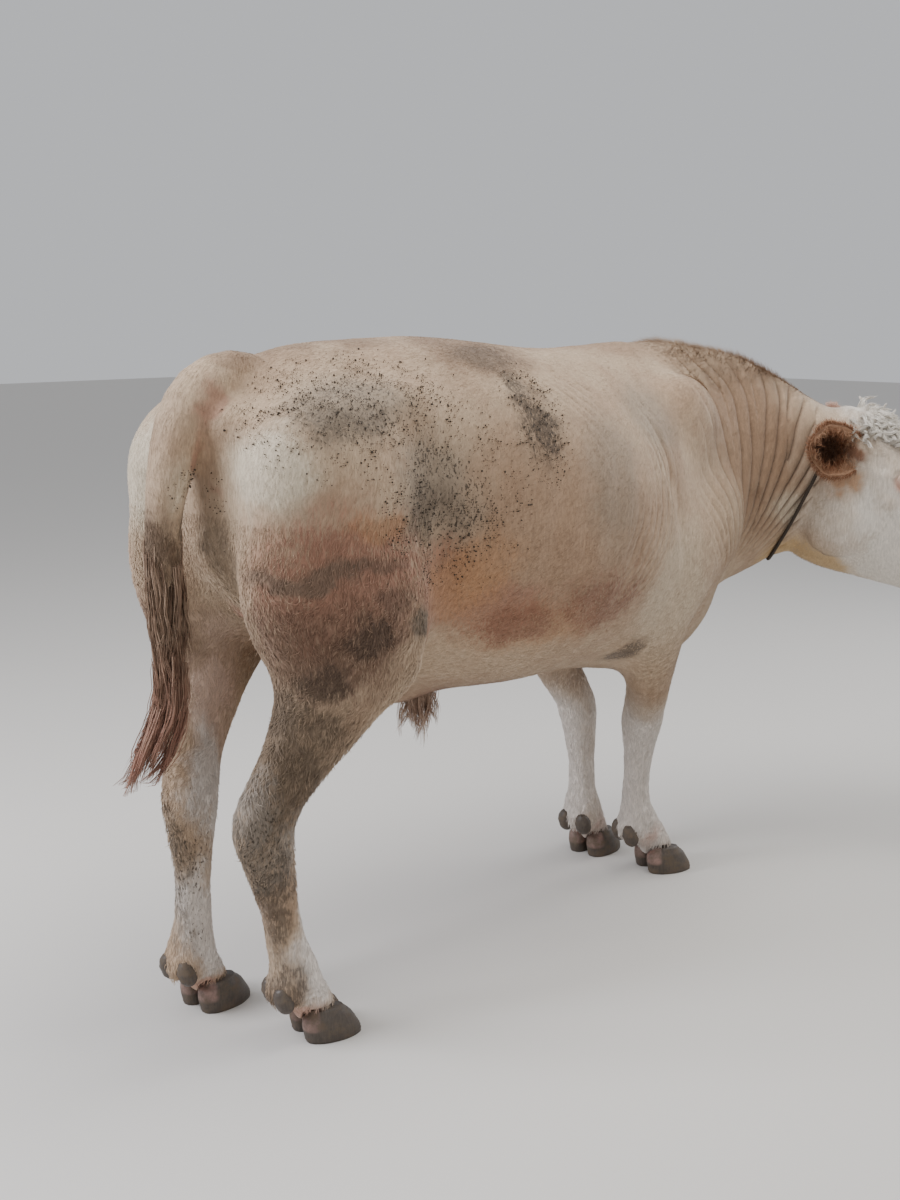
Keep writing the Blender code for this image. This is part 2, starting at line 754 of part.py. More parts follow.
def poll_curls(head, rng):
    """Fat locks that rise from the skin and roll over towards the forehead and the sides."""
    tree = surface_tree(head)
    turn = head_frame.to_3x3()
    out = turn @ Vector((0, 0, 1))
    made = []
    for along, count, spread in curl_rows:
        for index in range(count):
            across = spread * (2 * (index + 0.5) / count - 1) + rng.uniform(-0.006, 0.006)
            start = head_point(along + rng.uniform(-0.008, 0.008), across, 0.25)
            hit, normal = tree.ray_cast(start, -out)[:2]
            lie = turn @ Vector((1.0, across / spread * 0.9 + rng.uniform(-0.3, 0.3), 0))
            lie = (lie - normal * lie.dot(normal)).normalized()
            size = rng.uniform(0.85, 1.15)
            path = []
            for t in (0, 0.3, 0.7, 1.0):
                rise = -0.008 + 0.024 * math.sin(math.pi * (0.08 + 0.84 * t)) - 0.006 * t
                path.append(hit + normal * (rise * size) + lie * (curl_length * size * (t - 0.1)))
            widths = [curl_width * size * w for w in (0.8, 1.0, 0.85, 0.4)]
            thick = [curl_thickness * size * w for w in (1.0, 1.0, 0.9, 0.4)]
            made.append(new_object("curl", lock(path, widths, thick, normal, 5)))
    return made


# Lids: height over the eyeball's middle and half thickness, for the upper and the lower one
lid_rows = ((0.0125, 0.0066), (-0.0112, 0.0056))
lid_half_length = 0.0235
eye_sink = 0.76


def lids(middle, outward):
    """Two bent ridges over the eyeball, thick in the middle and thin at the corners."""
    turn = head_frame.to_3x3()
    forward = turn @ Vector((1, 0, -0.18))
    forward = (forward - outward * forward.dot(outward)).normalized()
    upward = forward.cross(outward)
    if upward.dot(turn @ Vector((0, 0, 1))) < 0:
        upward = -upward
    made = []
    for lift, thick in lid_rows:
        path = []
        widths = []
        for step in range(6):
            s = step / 2.5 - 1
            along = lid_half_length * s
            over = lift * (1 - s * s)
            stand = math.sqrt(max(0.0, (eyeball_radius + 0.0015) ** 2 - along**2 - over**2))
            stand = max(stand, eyeball_radius * eye_sink - 0.001)
            path.append(middle + forward * along + upward * over + outward * stand)
            widths.append(thick * 2 * (1 - 0.45 * s * s))
        made.append(new_object("lid", lock(path, widths, widths, outward, 5)))
    return made


def open_mouth_line(head):
    """A shallow groove between the lips, round the front of the muzzle to the corners of the mouth."""
    turn = Matrix.Rotation(math.radians(mouth_slope), 4, "Y")
    bm = bmesh.new()
    bmesh.ops.create_cube(bm, size=1, matrix=Matrix.Diagonal((mouth_length * 2, 0.26, mouth_gap, 1)))
    bm.transform(head_frame @ Matrix.Translation(mouth_front) @ turn)
    groove = new_object("groove", bm)
    boolean(groove, inflated_copy(head, -mouth_depth), "DIFFERENCE")
    boolean(head, groove, "DIFFERENCE")
    keep_largest(head)


mouth_front = Vector((0.560, 0, -0.152))
mouth_slope = 6
mouth_length = 0.150
mouth_gap = 0.005
mouth_depth = 0.010


def open_nostril(head, side):
    """A comma-shaped opening in the side of the nose pad."""
    place = (
        head_frame
        @ Matrix.Translation((0.549, side * 0.052, -0.082))
        @ Matrix.Rotation(math.radians(side * -32), 4, "Z")
        @ Matrix.Rotation(math.radians(28), 4, "Y")
        @ Matrix.Diagonal((0.022, 0.012, 0.017, 1))
    )
    bm = bmesh.new()
    bmesh.ops.create_uvsphere(bm, u_segments=9, v_segments=6, radius=1, matrix=place)
    boolean(head, new_object("nostril", bm), "DIFFERENCE")
    keep_largest(head)


# Long hair of the tail: locks in the ring of each level
switch_levels = 4
switch_ring = 3
switch_width = 0.056
switch_thickness = 0.014
switch_tip = Vector((-0.955, -0.012, tail_tip_height))


def switch_locks(rng):
    """Flat locks from all round the lower dock, hanging down and sweeping back at their tips."""
    rows = smooth_between(switch_stations, 4)
    made = []
    for level in range(switch_levels):
        for index in range(switch_ring):
            at = rows[min(len(rows) - 2, round((level + 0.2) / switch_levels * (len(rows) - 1)))]
            angle = 2 * math.pi * (index + 0.5 * (level % 2)) / switch_ring + rng.uniform(-0.3, 0.3)
            outward = Vector((-0.25 + 0.75 * math.cos(angle), math.sin(angle), 0)).normalized()
            root = Vector(at[:3]) + outward * (at[3] * 0.35)
            stray = Vector((rng.uniform(-0.035, 0.05), rng.uniform(-0.035, 0.035), rng.uniform(0, 0.07)))
            end = switch_tip + stray
            share = (level + 1) / switch_levels
            length = min((end - root).length, 0.17 + 0.09 * share + rng.uniform(-0.03, 0.02))
            path = []
            for t in (0, 0.3, 0.7, 1.0):
                fall = Vector((0, 0, -1)).lerp((end - root).normalized(), 0.35 + 0.6 * share * t)
                bulge = outward * (0.024 * math.sin(math.pi * min(1, t + 0.10)) * (1.15 - 0.5 * share))
                path.append(root + fall * (length * t) + bulge)
            widths = [switch_width * w for w in (0.7, 1.0, 0.8, 0.12)]
            thick = [switch_thickness * w for w in (1.0, 1.0, 0.8, 0.2)]
            made.append(new_object("hair", lock(path, widths, thick, outward, 4)))
    return made


# The core of the sheath's tuft: x, y, z, radius
tuft_stations = ((-0.208, 0, 0.615, 0.026), (-0.211, 0, 0.580, 0.022), (-0.215, 0, 0.540, 0.008))
tuft_count = 6
tuft_length = 0.105
tuft_width = 0.030
tuft_thickness = 0.013


def tuft_locks(rng):
    """The hair at the opening of the sheath."""
    made = []
    for index in range(tuft_count):
        angle = 2 * math.pi * index / tuft_count * 1.618
        outward = Vector((math.cos(angle), math.sin(angle), 0))
        root = Vector((-0.212, 0, 0.598)) + outward * 0.012
        length = tuft_length * rng.uniform(0.75, 1.08)
        path = []
        for t in (0, 0.35, 0.75, 1.0):
            spread = outward * (0.006 * t) + Vector((-0.014, 0, 0)) * (t * t)
            path.append(root + Vector((0, 0, -1)) * (length * t) + spread)
        widths = [tuft_width * w for w in (0.8, 1.0, 0.75, 0.15)]
        thick = [tuft_thickness * w for w in (1.0, 1.0, 0.8, 0.3)]
        made.append(new_object("hair", lock(path, widths, thick, outward, 4)))
    return made


def make_tail(made, skin, hair, rng):
    made["tail"] = new_object("tail", tube(tail_stations, 2, 14), skin)
    clear_of(made["tail"], made["hindquarters"])
    start = list(switch_stations)
    first = start[0]
    start[0] = (first[0], first[1], first[2] - gap, first[3])
    made["tail_switch"] = new_object("tail_switch", tube(start, 2, 10), hair)
    unite(made["tail_switch"], switch_locks(rng))
    clear_of(made["tail_switch"], made["hindquarters"])
    clear_of(made["tail_switch"], made["tail"])


def surface_tree(item):
    bm = bmesh.new()
    bm.from_mesh(item.data)
    tree = BVHTree.FromBMesh(bm)
    bm.free()
    return tree


def eye_place(head, side):
    """The middle of the eyeball, sunk deep in the head behind its lids, and the way that it looks out."""
    inward = head_frame.to_3x3() @ Vector((0, -side, 0))
    hit, outward = surface_tree(head).ray_cast(head_point(0.190, side * 0.4, -0.058), inward)[:2]
    return hit - outward * (eyeball_radius * eye_sink), outward


def make_rope(made, material):
    """A worn rope round the throat, just behind the jaw, lying on the neck."""
    tree = surface_tree(made["neck"])
    middle = head_point(0.022, 0, -0.20)
    normal = neck_cut.normalized()
    up = (Vector((0, 0, 1)) - normal * normal.z).normalized()
    across = normal.cross(up)
    count = 46
    reach = rope_radius + 0.0035
    loop = []
    for step in range(count):
        angle = 2 * math.pi * step / count
        ray = up * math.cos(angle) + across * math.sin(angle)
        hit = tree.ray_cast(middle + ray * 0.6, -ray)[0]
        distance = (hit - middle).length if hit else 0.15
        loop.append(distance + reach)
    smoothed = loop
    for _ in range(3):
        smoothed = [max(v, (smoothed[i - 1] + smoothed[(i + 1) % count]) / 2) for i, v in enumerate(smoothed)]
    points = [
        middle + (up * math.cos(2 * math.pi * i / count) + across * math.sin(2 * math.pi * i / count)) * r
        for i, r in enumerate(smoothed)
    ]
    bm = bmesh.new()
    rings = []
    for i, point in enumerate(points):
        run = (points[(i + 1) % count] - points[i - 1]).normalized()
        outward = run.cross(normal).normalized()
        ring = []
        for k in range(rope_sides):
            a = 2 * math.pi * k / rope_sides
            ring.append(bm.verts.new(point + (normal * math.cos(a) + outward * math.sin(a)) * rope_radius))
        rings.append(ring)
    for i in range(count):
        for k in range(rope_sides):
            a, b = rings[i], rings[(i + 1) % count]
            bm.faces.new((a[k], a[(k + 1) % rope_sides], b[(k + 1) % rope_sides], b[k]))
    bmesh.ops.recalc_face_normals(bm, faces=bm.faces)
    made["rope_collar"] = new_object("rope_collar", bm, material)
    clear_of(made["rope_collar"], made["neck"])


def centre_on_floor(made):
    """Puts the middle of the whole model's box over the origin, with the soles at z = 0."""
    corners = [vert.co for item in made.values() for vert in item.data.vertices]
    low = Vector((min(c.x for c in corners), min(c.y for c in corners), 0))
    high = Vector((max(c.x for c in corners), max(c.y for c in corners), 0))
    shift = Matrix.Translation(-(low + high) / 2)
    for item in made.values():
        item.data.transform(shift)


def main():
    clear_scene()
    cream = finish_material("cream_coat", (0.72, 0.62, 0.50), 0.8)
    pale = finish_material("white_coat", (0.80, 0.76, 0.70), 0.8)
    dusty = finish_material("stained_coat", (0.42, 0.30, 0.23), 0.85)
    auburn = finish_material("tail_hair", (0.20, 0.11, 0.08), 0.7)
    rust = finish_material("ear_hair", (0.38, 0.20, 0.12), 0.8)
    horn = finish_material("hoof_horn", (0.09, 0.08, 0.07), 0.45)
    pink = finish_material("bare_skin", (0.62, 0.40, 0.34), 0.55)
    eye_dark = finish_material("eyeball", (0.02, 0.015, 0.012), 0.08)
    fibre = finish_material("rope_fibre", (0.12, 0.10, 0.08), 0.9)

    rng = random.Random(7)
    made = part_flesh(shape_flesh())
    coats = {"head": pale, "neck": cream, "shoulders": cream, "barrel": cream, "hindquarters": cream}
    for name, item in made.items():
        item.data.materials.append(coats.get(name, dusty if name.startswith("gaskin") else pale))

    for foot_name, foot in feet.items():
        leg = made["cannon_" + foot_name]
        row, name_side = foot_name.split("_")
        stations = (fore_legs if row == "fore" else hind_legs)[name_side]
        fetlock = next(s for s in stations if s[2] == fetlock_height)[:3]
        for side, claw_side in (("outer", sides[name_side]), ("inner", -sides[name_side])):
            hoof = claw("hoof_%s_%s" % (foot_name, side), foot, claw_side, horn)
            made[hoof.name] = hoof
            clear_of(leg, hoof)
        for side, claw_side in (("outer", sides[name_side]), ("inner", -sides[name_side])):
            spur = dewclaw("dewclaw_%s_%s" % (foot_name, side), foot, claw_side, fetlock, horn)
            clear_of(spur, leg)
            made[spur.name] = spur

    make_rope(made, fibre)
    open_mouth_line(made["head"])
    eyes = {name: eye_place(made["head"], side) for name, side in sides.items()}
    extras = poll_curls(made["head"], rng)
    for name, side in sides.items():
        open_nostril(made["head"], side)
        extras += lids(*eyes[name])
    unite(made["head"], extras)
    clear_of(made["head"], made["rope_collar"])
    for name, side in sides.items():
        eye = ball("eye_" + name, eyes[name][0], (eyeball_radius,) * 3, eye_dark, rows=8, columns=14)
        made[eye.name] = eye
        clear_of(made["head"], eye)
        ear = cupped_ear("ear_" + name, side, rust)
        for other in ("head", "neck", "rope_collar"):
            clear_of(ear, made[other])
        made[ear.name] = ear

    make_tail(made, cream, auburn, rng)
    scrotum = ball("scrotum", (-0.52, 0.0, 0.665), (0.062, 0.066, 0.13), pink, rows=9, columns=12)
    clear_of(scrotum, made["hindquarters"])
    made["scrotum"] = scrotum
    tuft = new_object("sheath_tuft", tube(tuft_stations, 1, 8), auburn)
    unite(tuft, tuft_locks(rng))
    clear_of(tuft, made["barrel"])
    made["sheath_tuft"] = tuft
    for item in made.values():
        shade(item)
    centre_on_floor(made)


main()
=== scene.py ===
import itertools
import json
import math
import bmesh
import bpy
import numpy as np
from mathutils import Matrix, Vector

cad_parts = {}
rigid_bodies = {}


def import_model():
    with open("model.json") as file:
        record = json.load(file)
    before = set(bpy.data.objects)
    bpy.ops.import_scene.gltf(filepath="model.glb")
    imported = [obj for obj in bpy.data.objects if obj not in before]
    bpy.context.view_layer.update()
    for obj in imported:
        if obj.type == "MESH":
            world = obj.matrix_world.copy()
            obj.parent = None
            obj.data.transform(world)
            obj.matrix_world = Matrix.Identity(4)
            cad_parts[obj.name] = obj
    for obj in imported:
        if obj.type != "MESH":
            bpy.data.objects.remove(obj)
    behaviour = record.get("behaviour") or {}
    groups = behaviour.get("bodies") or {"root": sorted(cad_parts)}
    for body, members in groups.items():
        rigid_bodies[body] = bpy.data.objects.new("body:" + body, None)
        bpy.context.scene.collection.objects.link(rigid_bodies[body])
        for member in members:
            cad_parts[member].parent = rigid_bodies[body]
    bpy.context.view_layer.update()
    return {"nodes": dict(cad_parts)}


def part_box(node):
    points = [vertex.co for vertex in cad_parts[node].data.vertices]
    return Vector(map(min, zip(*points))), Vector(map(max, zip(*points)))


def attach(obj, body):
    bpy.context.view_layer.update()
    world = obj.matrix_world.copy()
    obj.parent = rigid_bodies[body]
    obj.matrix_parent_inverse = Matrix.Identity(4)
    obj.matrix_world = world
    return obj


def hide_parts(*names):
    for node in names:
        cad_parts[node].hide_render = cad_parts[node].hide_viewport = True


for spare in list(bpy.data.objects):
    bpy.data.objects.remove(spare)
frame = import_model()
nodes = frame["nodes"]
sides = {"right": -1, "left": 1}
wholeTurn = 2 * math.pi

# The bull faces +X and its left side is +Y. Places below are measured from a point on the floor
# that the fore right foot fixes, and stagePoint carries them into the frame.
rightForeSole = (0.592, -0.098, 0)
pollPlace = Vector((1.100, -0.335, 1.182))
headAngles = (("Z", -60), ("Y", 45), ("X", -6))  # turned right, lowered, tipped


def middleOfSoles(names):
    soles = [v.co for name in names for v in nodes[name].data.vertices if v.co.z < 1e-4]
    return sum(soles, Vector()) / len(soles)


def middleOfBox(node):
    return sum((Vector(corner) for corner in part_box(node)), Vector()) / 2


def turnBy(*angles):  # turns about the axes, in degrees, one after the other
    turn = Matrix.Identity(3)
    for axis, degrees in angles:
        turn = turn @ Matrix.Rotation(math.radians(degrees), 3, axis)
    return turn


shift = middleOfSoles(("hoof_fore_right_inner", "hoof_fore_right_outer")) - Vector(rightForeSole)
offset = np.array(shift)
headTurn = turnBy(*headAngles)
headAxes = np.array(headTurn)  # columns: down the face, the head's left, out of the forehead


def stagePoint(place):
    return Vector(place) + shift


def headPoint(along, left, out):
    return stagePoint(pollPlace + headTurn @ Vector((along, left, out)))


def linearColour(code):
    parts = [int(code[i:i + 2], 16) / 255 for i in (1, 3, 5)]
    return [c / 12.92 if c <= 0.04045 else ((c + 0.055) / 1.055) ** 2.4 for c in parts] + [1.0]


def setInputs(node, inputs):  # a node stands for its first live output, and a text for a colour
    for key, value in inputs.items():
        if isinstance(value, bpy.types.Node):
            value = next(socket for socket in value.outputs if socket.enabled)
        if isinstance(value, bpy.types.NodeSocket):
            node.id_data.links.new(value, node.inputs[key])
        else:
            node.inputs[key].default_value = linearColour(value) if isinstance(value, str) else value


def addNode(tree, kind, inputs, **settings):
    node = tree.nodes.new(kind if kind.startswith(("Geometry", "NodeGroup")) else "ShaderNode" + kind)
    for key, value in settings.items():
        setattr(node, key, value)
    setInputs(node, inputs)
    return node


def newMaterial(name):
    made = bpy.data.materials.new(name)
    made.use_nodes = True
    return made, made.node_tree, made.node_tree.nodes["Principled BSDF"]


def fade(value, low, high):  # 0 below low, 1 above high, smooth between
    t = np.clip((value - low) / (high - low), 0, 1)
    return t * t * (3 - 2 * t)


def hill(value, width):  # 1 at nought, gone past about two widths
    return np.exp(-((value / width) ** 2))


def around(points, centre, radii):  # 1 in the middle of an ellipsoid, 0 outside it
    return 1 - fade(np.linalg.norm((points - np.array(centre)) / np.array(radii), axis=1), 0.35, 1.0)


def unit(vectors):
    return vectors / np.maximum(np.linalg.norm(vectors, axis=-1, keepdims=True), 1e-9)


def lumpNoise(points, size, seed):  # smooth noise from -1 to 1 with lumps of about size
    place = points / size
    base = np.floor(place).astype(np.int64)
    part = place - base
    part = part * part * (3 - 2 * part)
    total = np.zeros(len(points))
    for corner in itertools.product((0, 1), repeat=3):
        mixed = seed * 2654435761
        for cell, prime in zip((base + np.array(corner)).T, (73856093, 19349663, 83492791)):
            mixed = mixed ^ (cell * prime)
        for step, prime in ((13, 1274126177), (15, 2246822519)):
            mixed = (mixed ^ (mixed >> step)) * prime & 0xFFFFFFFF
        share = np.prod(np.where(np.array(corner) == 1, part, 1 - part), axis=1)
        total += (mixed / 0x7FFFFFFF - 1) * share
    return total


def alongPath(points, path):  # length run along a path, and the distance from it, for every point
    path = np.array(path, float)
    best = np.full(len(points), 9.0)
    run = np.zeros(len(points))
    start = 0.0
    for first, second in zip(path, path[1:]):
        step = second - first
        length = np.linalg.norm(step)
        t = np.clip((points - first) @ step / length**2, 0, 1)
        away = np.linalg.norm(points - first - t[:, None] * step, axis=1)
        closer = away < best
        best = np.where(closer, away, best)
        run = np.where(closer, start + t * length, run)
        start += length
    return run, best


def runsOf(path):  # the length run at each point of a path
    return np.append(0, np.cumsum(np.linalg.norm(np.diff(path, axis=0), axis=1)))


def leftOf(points, path, run):  # how far each point lies to the left of a flat path
    path = np.array(path)
    runs = runsOf(path)
    tables = (path, np.gradient(path, runs, axis=0))
    centre, ahead = (
        np.stack([np.interp(run, runs, table[:, a]) for a in (0, 1)], axis=1) for table in tables
    )
    return ahead[:, 0] * (points - centre)[:, 1] - ahead[:, 1] * (points - centre)[:, 0]


def readArray(items, key, width=1, kind=np.float32):
    held = np.empty(len(items) * width, kind)
    items.foreach_get(key, held)
    return held.reshape(-1, width) if width > 1 else held


def readMesh(mesh):
    normals = readArray(mesh.vertex_normals, "vector", 3)
    return readArray(mesh.vertices, "co", 3).astype(float), normals.astype(float)


def writePoints(mesh, points):
    mesh.vertices.foreach_set("co", points.astype(np.float32).ravel())
    mesh.update()


def plainMesh(item):  # the item with its modifiers turned into plain mesh
    graph = bpy.context.evaluated_depsgraph_get()
    mesh = bpy.data.meshes.new_from_object(item.evaluated_get(graph))
    item.modifiers.clear()
    old, item.data = item.data, mesh
    mesh.name = item.name
    bpy.data.meshes.remove(old)
    return item


def addObject(name, data, material=None):
    item = bpy.data.objects.new(name, data)
    bpy.context.scene.collection.objects.link(item)
    if material is not None:
        data.materials.append(material)
    return item


def holdStrand(mesh, values):  # the attribute that the materials read: tone, place along the hair, zone
    held = mesh.attributes.new("strand", "FLOAT_VECTOR", "POINT")
    held.data.foreach_set("vector", values.astype(np.float32).ravel())


def shadeSmooth(mesh):
    mesh.polygons.foreach_set("use_smooth", np.ones(len(mesh.polygons), bool))


def meshFromTriangles(name, points, triangles, material, spot=None, strand=None):
    mesh = bpy.data.meshes.new(name)
    mesh.vertices.add(len(points))
    mesh.vertices.foreach_set("co", points.astype(np.float32).ravel())
    mesh.loops.add(triangles.size)
    mesh.loops.foreach_set("vertex_index", triangles.astype(np.int32).ravel())
    mesh.polygons.add(len(triangles))
    mesh.polygons.foreach_set("loop_start", np.arange(0, triangles.size, 3, dtype=np.int32))
    mesh.update(calc_edges=True)
    shadeSmooth(mesh)
    if spot is not None:
        layer = mesh.uv_layers.new(name="OFBake")
        layer.data.foreach_set("uv", spot[triangles.ravel()].astype(np.float32).ravel())
    if strand is not None:
        holdStrand(mesh, strand)
    mesh.validate()
    return addObject(name, mesh, material)


def turnOutwards(item):
    fixed = bmesh.new()
    fixed.from_mesh(item.data)
    bmesh.ops.recalc_face_normals(fixed, faces=fixed.faces)
    fixed.to_mesh(item.data)
    fixed.free()


def gridTriangles(grid, after):  # after holds the next column's numbers
    p, q, r, s = grid[:-1].ravel(), after[:-1].ravel(), after[1:].ravel(), grid[1:].ravel()
    return np.concatenate((np.stack((p, q, r), 1), np.stack((p, r, s), 1)))


def tubeTriangles(rows, turns):  # a tube of rings, closed with a point at each end
    grid = np.arange(rows * turns).reshape(rows, turns)
    after = np.roll(grid, -1, axis=1)
    end = np.full(turns, grid.size)
    caps = np.stack((after[0], grid[0], end), 1), np.stack((grid[-1], after[-1], end + 1), 1)
    return np.concatenate((gridTriangles(grid, after), *caps))


def rings(levels, turns):  # the height and the angle at every point of a tube's rings
    theta = np.linspace(0, wholeTurn, turns, endpoint=False)[None] * np.ones((len(levels), 1))
    return levels[:, None] * np.ones(turns), theta


def finishPiece(item, slot, *stoodFor):
    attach(item, "root")
    if stoodFor:
        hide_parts(*stoodFor)
    return item


# Where the parts of the animal lie
neckPath = (
    (0.44, 0.0), (0.60, -0.005), (0.74, -0.030), (0.86, -0.075), (0.96, -0.140), (1.03, -0.210),
    (1.08, -0.280),
)
tailPath = (
    (-0.60, 0.000, 1.318), (-0.69, -0.002, 1.330), (-0.765, -0.005, 1.300), (-0.815, -0.008, 1.240),
    (-0.848, -0.010, 1.155), (-0.866, -0.010, 1.060), (-0.868, -0.010, 0.960),
)
legPaths = (  # from the knee or hock to the fetlock
    ((0.525, -0.068, 0.41), (0.526, -0.055, 0.27), (0.528, -0.062, 0.15)),
    ((0.502, 0.130, 0.41), (0.500, 0.112, 0.27), (0.498, 0.100, 0.15)),
    ((-0.758, -0.152, 0.45), (-0.722, -0.135, 0.33), (-0.668, -0.116, 0.15)),
    ((-0.746, 0.114, 0.45), (-0.744, 0.118, 0.32), (-0.744, 0.131, 0.15)),
)
neckCutPlace = np.array((0.035, 0, -0.195))
neckCutNormal = np.array((0.933, 0, 0.359))
scrotumPlace = (-0.52, 0, 0.63)


def measureBody(points):  # what every stage needs to know of each point
    place = points - offset
    local = (place - np.array(pollPlace)) @ headAxes
    facing = fade((local - neckCutPlace) @ neckCutNormal, -0.012, 0.018) * (place[:, 0] > 0.7)
    tailAway = alongPath(place, tailPath)[1]
    return {
        "place": place,
        "local": local,
        "head": facing,
        "leg": 1 - fade(place[:, 2], 0.44, 0.62),
        "neck": fade(place[:, 0], 0.50, 0.66) * (1 - facing) * fade(place[:, 2], 0.55, 0.75),
        "hind": fade(-place[:, 0], 0.28, 0.52),
        "tail": (1 - fade(tailAway, 0.045, 0.080)) * (place[:, 0] < -0.64),
        "tailAway": tailAway,
    }


# The skin is one mesh made from all the flesh of the frame
skinSettings = {
    "voxel": 0.005,
    "overlap": 0.0006,
    "relaxRounds": 46,
    "triangles": 194000,
    "coatDepth": {"trunk": 0.0055, "head": 0.0022, "leg": 0.0035, "poll": 0.001, "tail": 0.003},
    "neckFolds": {"spacing": 0.050, "depth": 0.013, "fanRun": 0.32, "fanHeight": 0.58, "reach": 0.62},
    "crest": 0.016,
    "ribFolds": {"spacing": 0.031, "depth": 0.0036, "bow": 2.9, "bowHeight": 1.075, "farSide": 0.35},
    "ribHollows": {"spacing": 0.088, "depth": 0.0012},
    "groin": ((-0.43, 0.0, 0.705), (0.13, 0.105, 0.065)),
    "mouthDepth": 0.0085,
    "eyeOpening": {"halfLength": 0.0225, "upper": 0.0142, "lower": 0.0122, "ball": 0.021, "lid": 0.0014},
}
# Ridges and grooves: height, half width and a path, the same on both sides
bodyGrooves = (
    (-0.007, 0.020, ((-0.785, 0.155, 1.12), (-0.80, 0.165, 0.98), (-0.77, 0.18, 0.84))),  # back of thigh
    (-0.009, 0.026, ((-0.40, 0.27, 1.06), (-0.415, 0.285, 0.92), (-0.44, 0.27, 0.80))),  # flank hollow
    (0.005, 0.030, ((-0.52, 0.25, 0.735), (-0.40, 0.205, 0.70), (-0.27, 0.155, 0.67))),  # fold of the flank
    (-0.006, 0.024, ((0.30, 0.27, 1.20), (0.33, 0.29, 1.02), (0.36, 0.28, 0.86))),  # behind the shoulder
)
faceGrooves = (
    (0.0055, 0.016, ((0.20, 0.115, -0.115), (0.30, 0.088, -0.125), (0.385, 0.075, -0.125))),  # cheek crest
    (-0.005, 0.014, ((0.11, 0.10, -0.33), (0.055, 0.115, -0.24), (0.04, 0.12, -0.13))),  # behind the jaw
)
faceHollows = (  # depth, middle and radii
    (-0.0045, (0.262, 0.088, -0.070), (0.045, 0.05, 0.030)),
    (-0.006, (0.115, 0.118, -0.060), (0.040, 0.05, 0.035)),
)
skinNodes = ["head", "neck", "shoulders", "barrel", "hindquarters", "tail", "scrotum"]
skinNodes += [p + s for p in ("forearm_", "cannon_fore_", "gaskin_", "cannon_hind_") for s in sides]
eyeSpots = {name: np.array(middleOfBox("eye_" + name)) for name in sides}


def addToMesh(joined, form):
    mesh = bpy.data.meshes.new("part")
    form.to_mesh(mesh)
    form.free()
    joined.from_mesh(mesh)
    bpy.data.meshes.remove(mesh)


def joinFlesh(names):
    joined = bmesh.new()
    for name in names:
        one = bmesh.new()
        one.from_mesh(nodes[name].data)
        bmesh.ops.remove_doubles(one, verts=one.verts, dist=1e-5)
        one.normal_update()
        moved = [v.co + v.normal * skinSettings["overlap"] for v in one.verts]
        for vert, place in zip(one.verts, moved):
            vert.co = place
        addToMesh(joined, one)
    middle, radii = skinSettings["groin"]  # slack skin between the belly and the scrotum
    place = Matrix.Translation(stagePoint(middle)) @ Matrix.Diagonal((*radii, 1))
    bmesh.ops.create_icosphere(joined, subdivisions=4, radius=1.0, matrix=place)
    mesh = bpy.data.meshes.new("skin")
    joined.to_mesh(mesh)
    joined.free()
    skin = addObject("skin", mesh)
    fuse = skin.modifiers.new("fuse", "REMESH")
    fuse.mode = "VOXEL"
    fuse.voxel_size = skinSettings["voxel"]
    return plainMesh(skin)


def relax(mesh, points, weight, rounds):
    a, b = readArray(mesh.edges, "vertices", 2, np.int32).T
    count = np.maximum(np.bincount(a, minlength=len(points)) + np.bincount(b, minlength=len(points)), 1)
    for _ in range(rounds):
        mean = np.empty_like(points)
        for axis in range(3):
            ends = (np.bincount(here, points[there, axis], len(points)) for here, there in ((a, b), (b, a)))
            mean[:, axis] = sum(ends)
        points = points + (mean / count[:, None] - points) * (0.6 * weight[:, None])
    return points


def refine(mesh, wanted):  # splits every edge whose two ends are wanted
    bm = bmesh.new()
    bm.from_mesh(mesh)
    bm.verts.ensure_lookup_table()
    chosen = [e for e in bm.edges if wanted[e.verts[0].index] and wanted[e.verts[1].index]]
    bmesh.ops.subdivide_edges(bm, edges=chosen, cuts=1, use_grid_fill=True, smooth=0.0)
    bm.to_mesh(mesh)
    bm.free()


def eyeFrame(name, points, normals):  # the eye's middle, and its forward, upward and outward directions
    close = np.linalg.norm(points - eyeSpots[name], axis=1) < 0.034
    outward = Vector(normals[close].mean(axis=0)).normalized()
    forward = headTurn @ Vector((1, 0, -0.18))
    forward = (forward - outward * forward.dot(outward)).normalized()
    upward = forward.cross(outward)
    if upward.dot(headTurn @ Vector((0, 0, 1))) < 0:
        upward = -upward
    return eyeSpots[name], np.array(forward), np.array(upward), np.array(outward)


def openEye(points, eye):  # wraps the skin round the eyeball as two lids
    opening = skinSettings["eyeOpening"]
    spot, forward, upward, outward = eye
    rel = points - spot
    a, b, c = rel @ forward, rel @ upward, rel @ outward
    bow = np.maximum(1 - (a / opening["halfLength"]) ** 2, -1.5)
    rim = np.where(b > 0, opening["upper"], opening["lower"]) * bow
    edge = (np.abs(b) - rim) / np.sqrt(1 + (2 * a * opening["upper"] / opening["halfLength"] ** 2) ** 2)
    past = np.abs(a) - opening["halfLength"]
    edge = np.where(past > 0, np.hypot(past, b), edge)
    radius = opening["ball"] + opening["lid"]
    ball = np.sqrt(np.maximum(radius**2 - a * a - b * b, 0))
    cover = ball + 0.0012 * hill(edge - 0.0015, 0.0016) - 0.0022 * hill(edge - 0.0085, 0.0018) * (b > 0)
    shut = 1 - fade(edge, 0.002, 0.019)
    close = (np.linalg.norm(rel, axis=1) < 0.05) & (c > 0)
    onLid = np.where(edge > 0, c + (np.maximum(cover, c * 0.3) - c) * shut, ball - 0.0075)
    points = points + outward * (np.where(close, onLid - c, 0))[:, None]
    return points, np.where(close, edge, 1.0)


def carve(points, grooves):  # how far ridges and grooves move each point
    return sum(height * hill(alongPath(points * (1, side, 1), path)[1], width)
               for side in sides.values() for height, width, path in grooves)


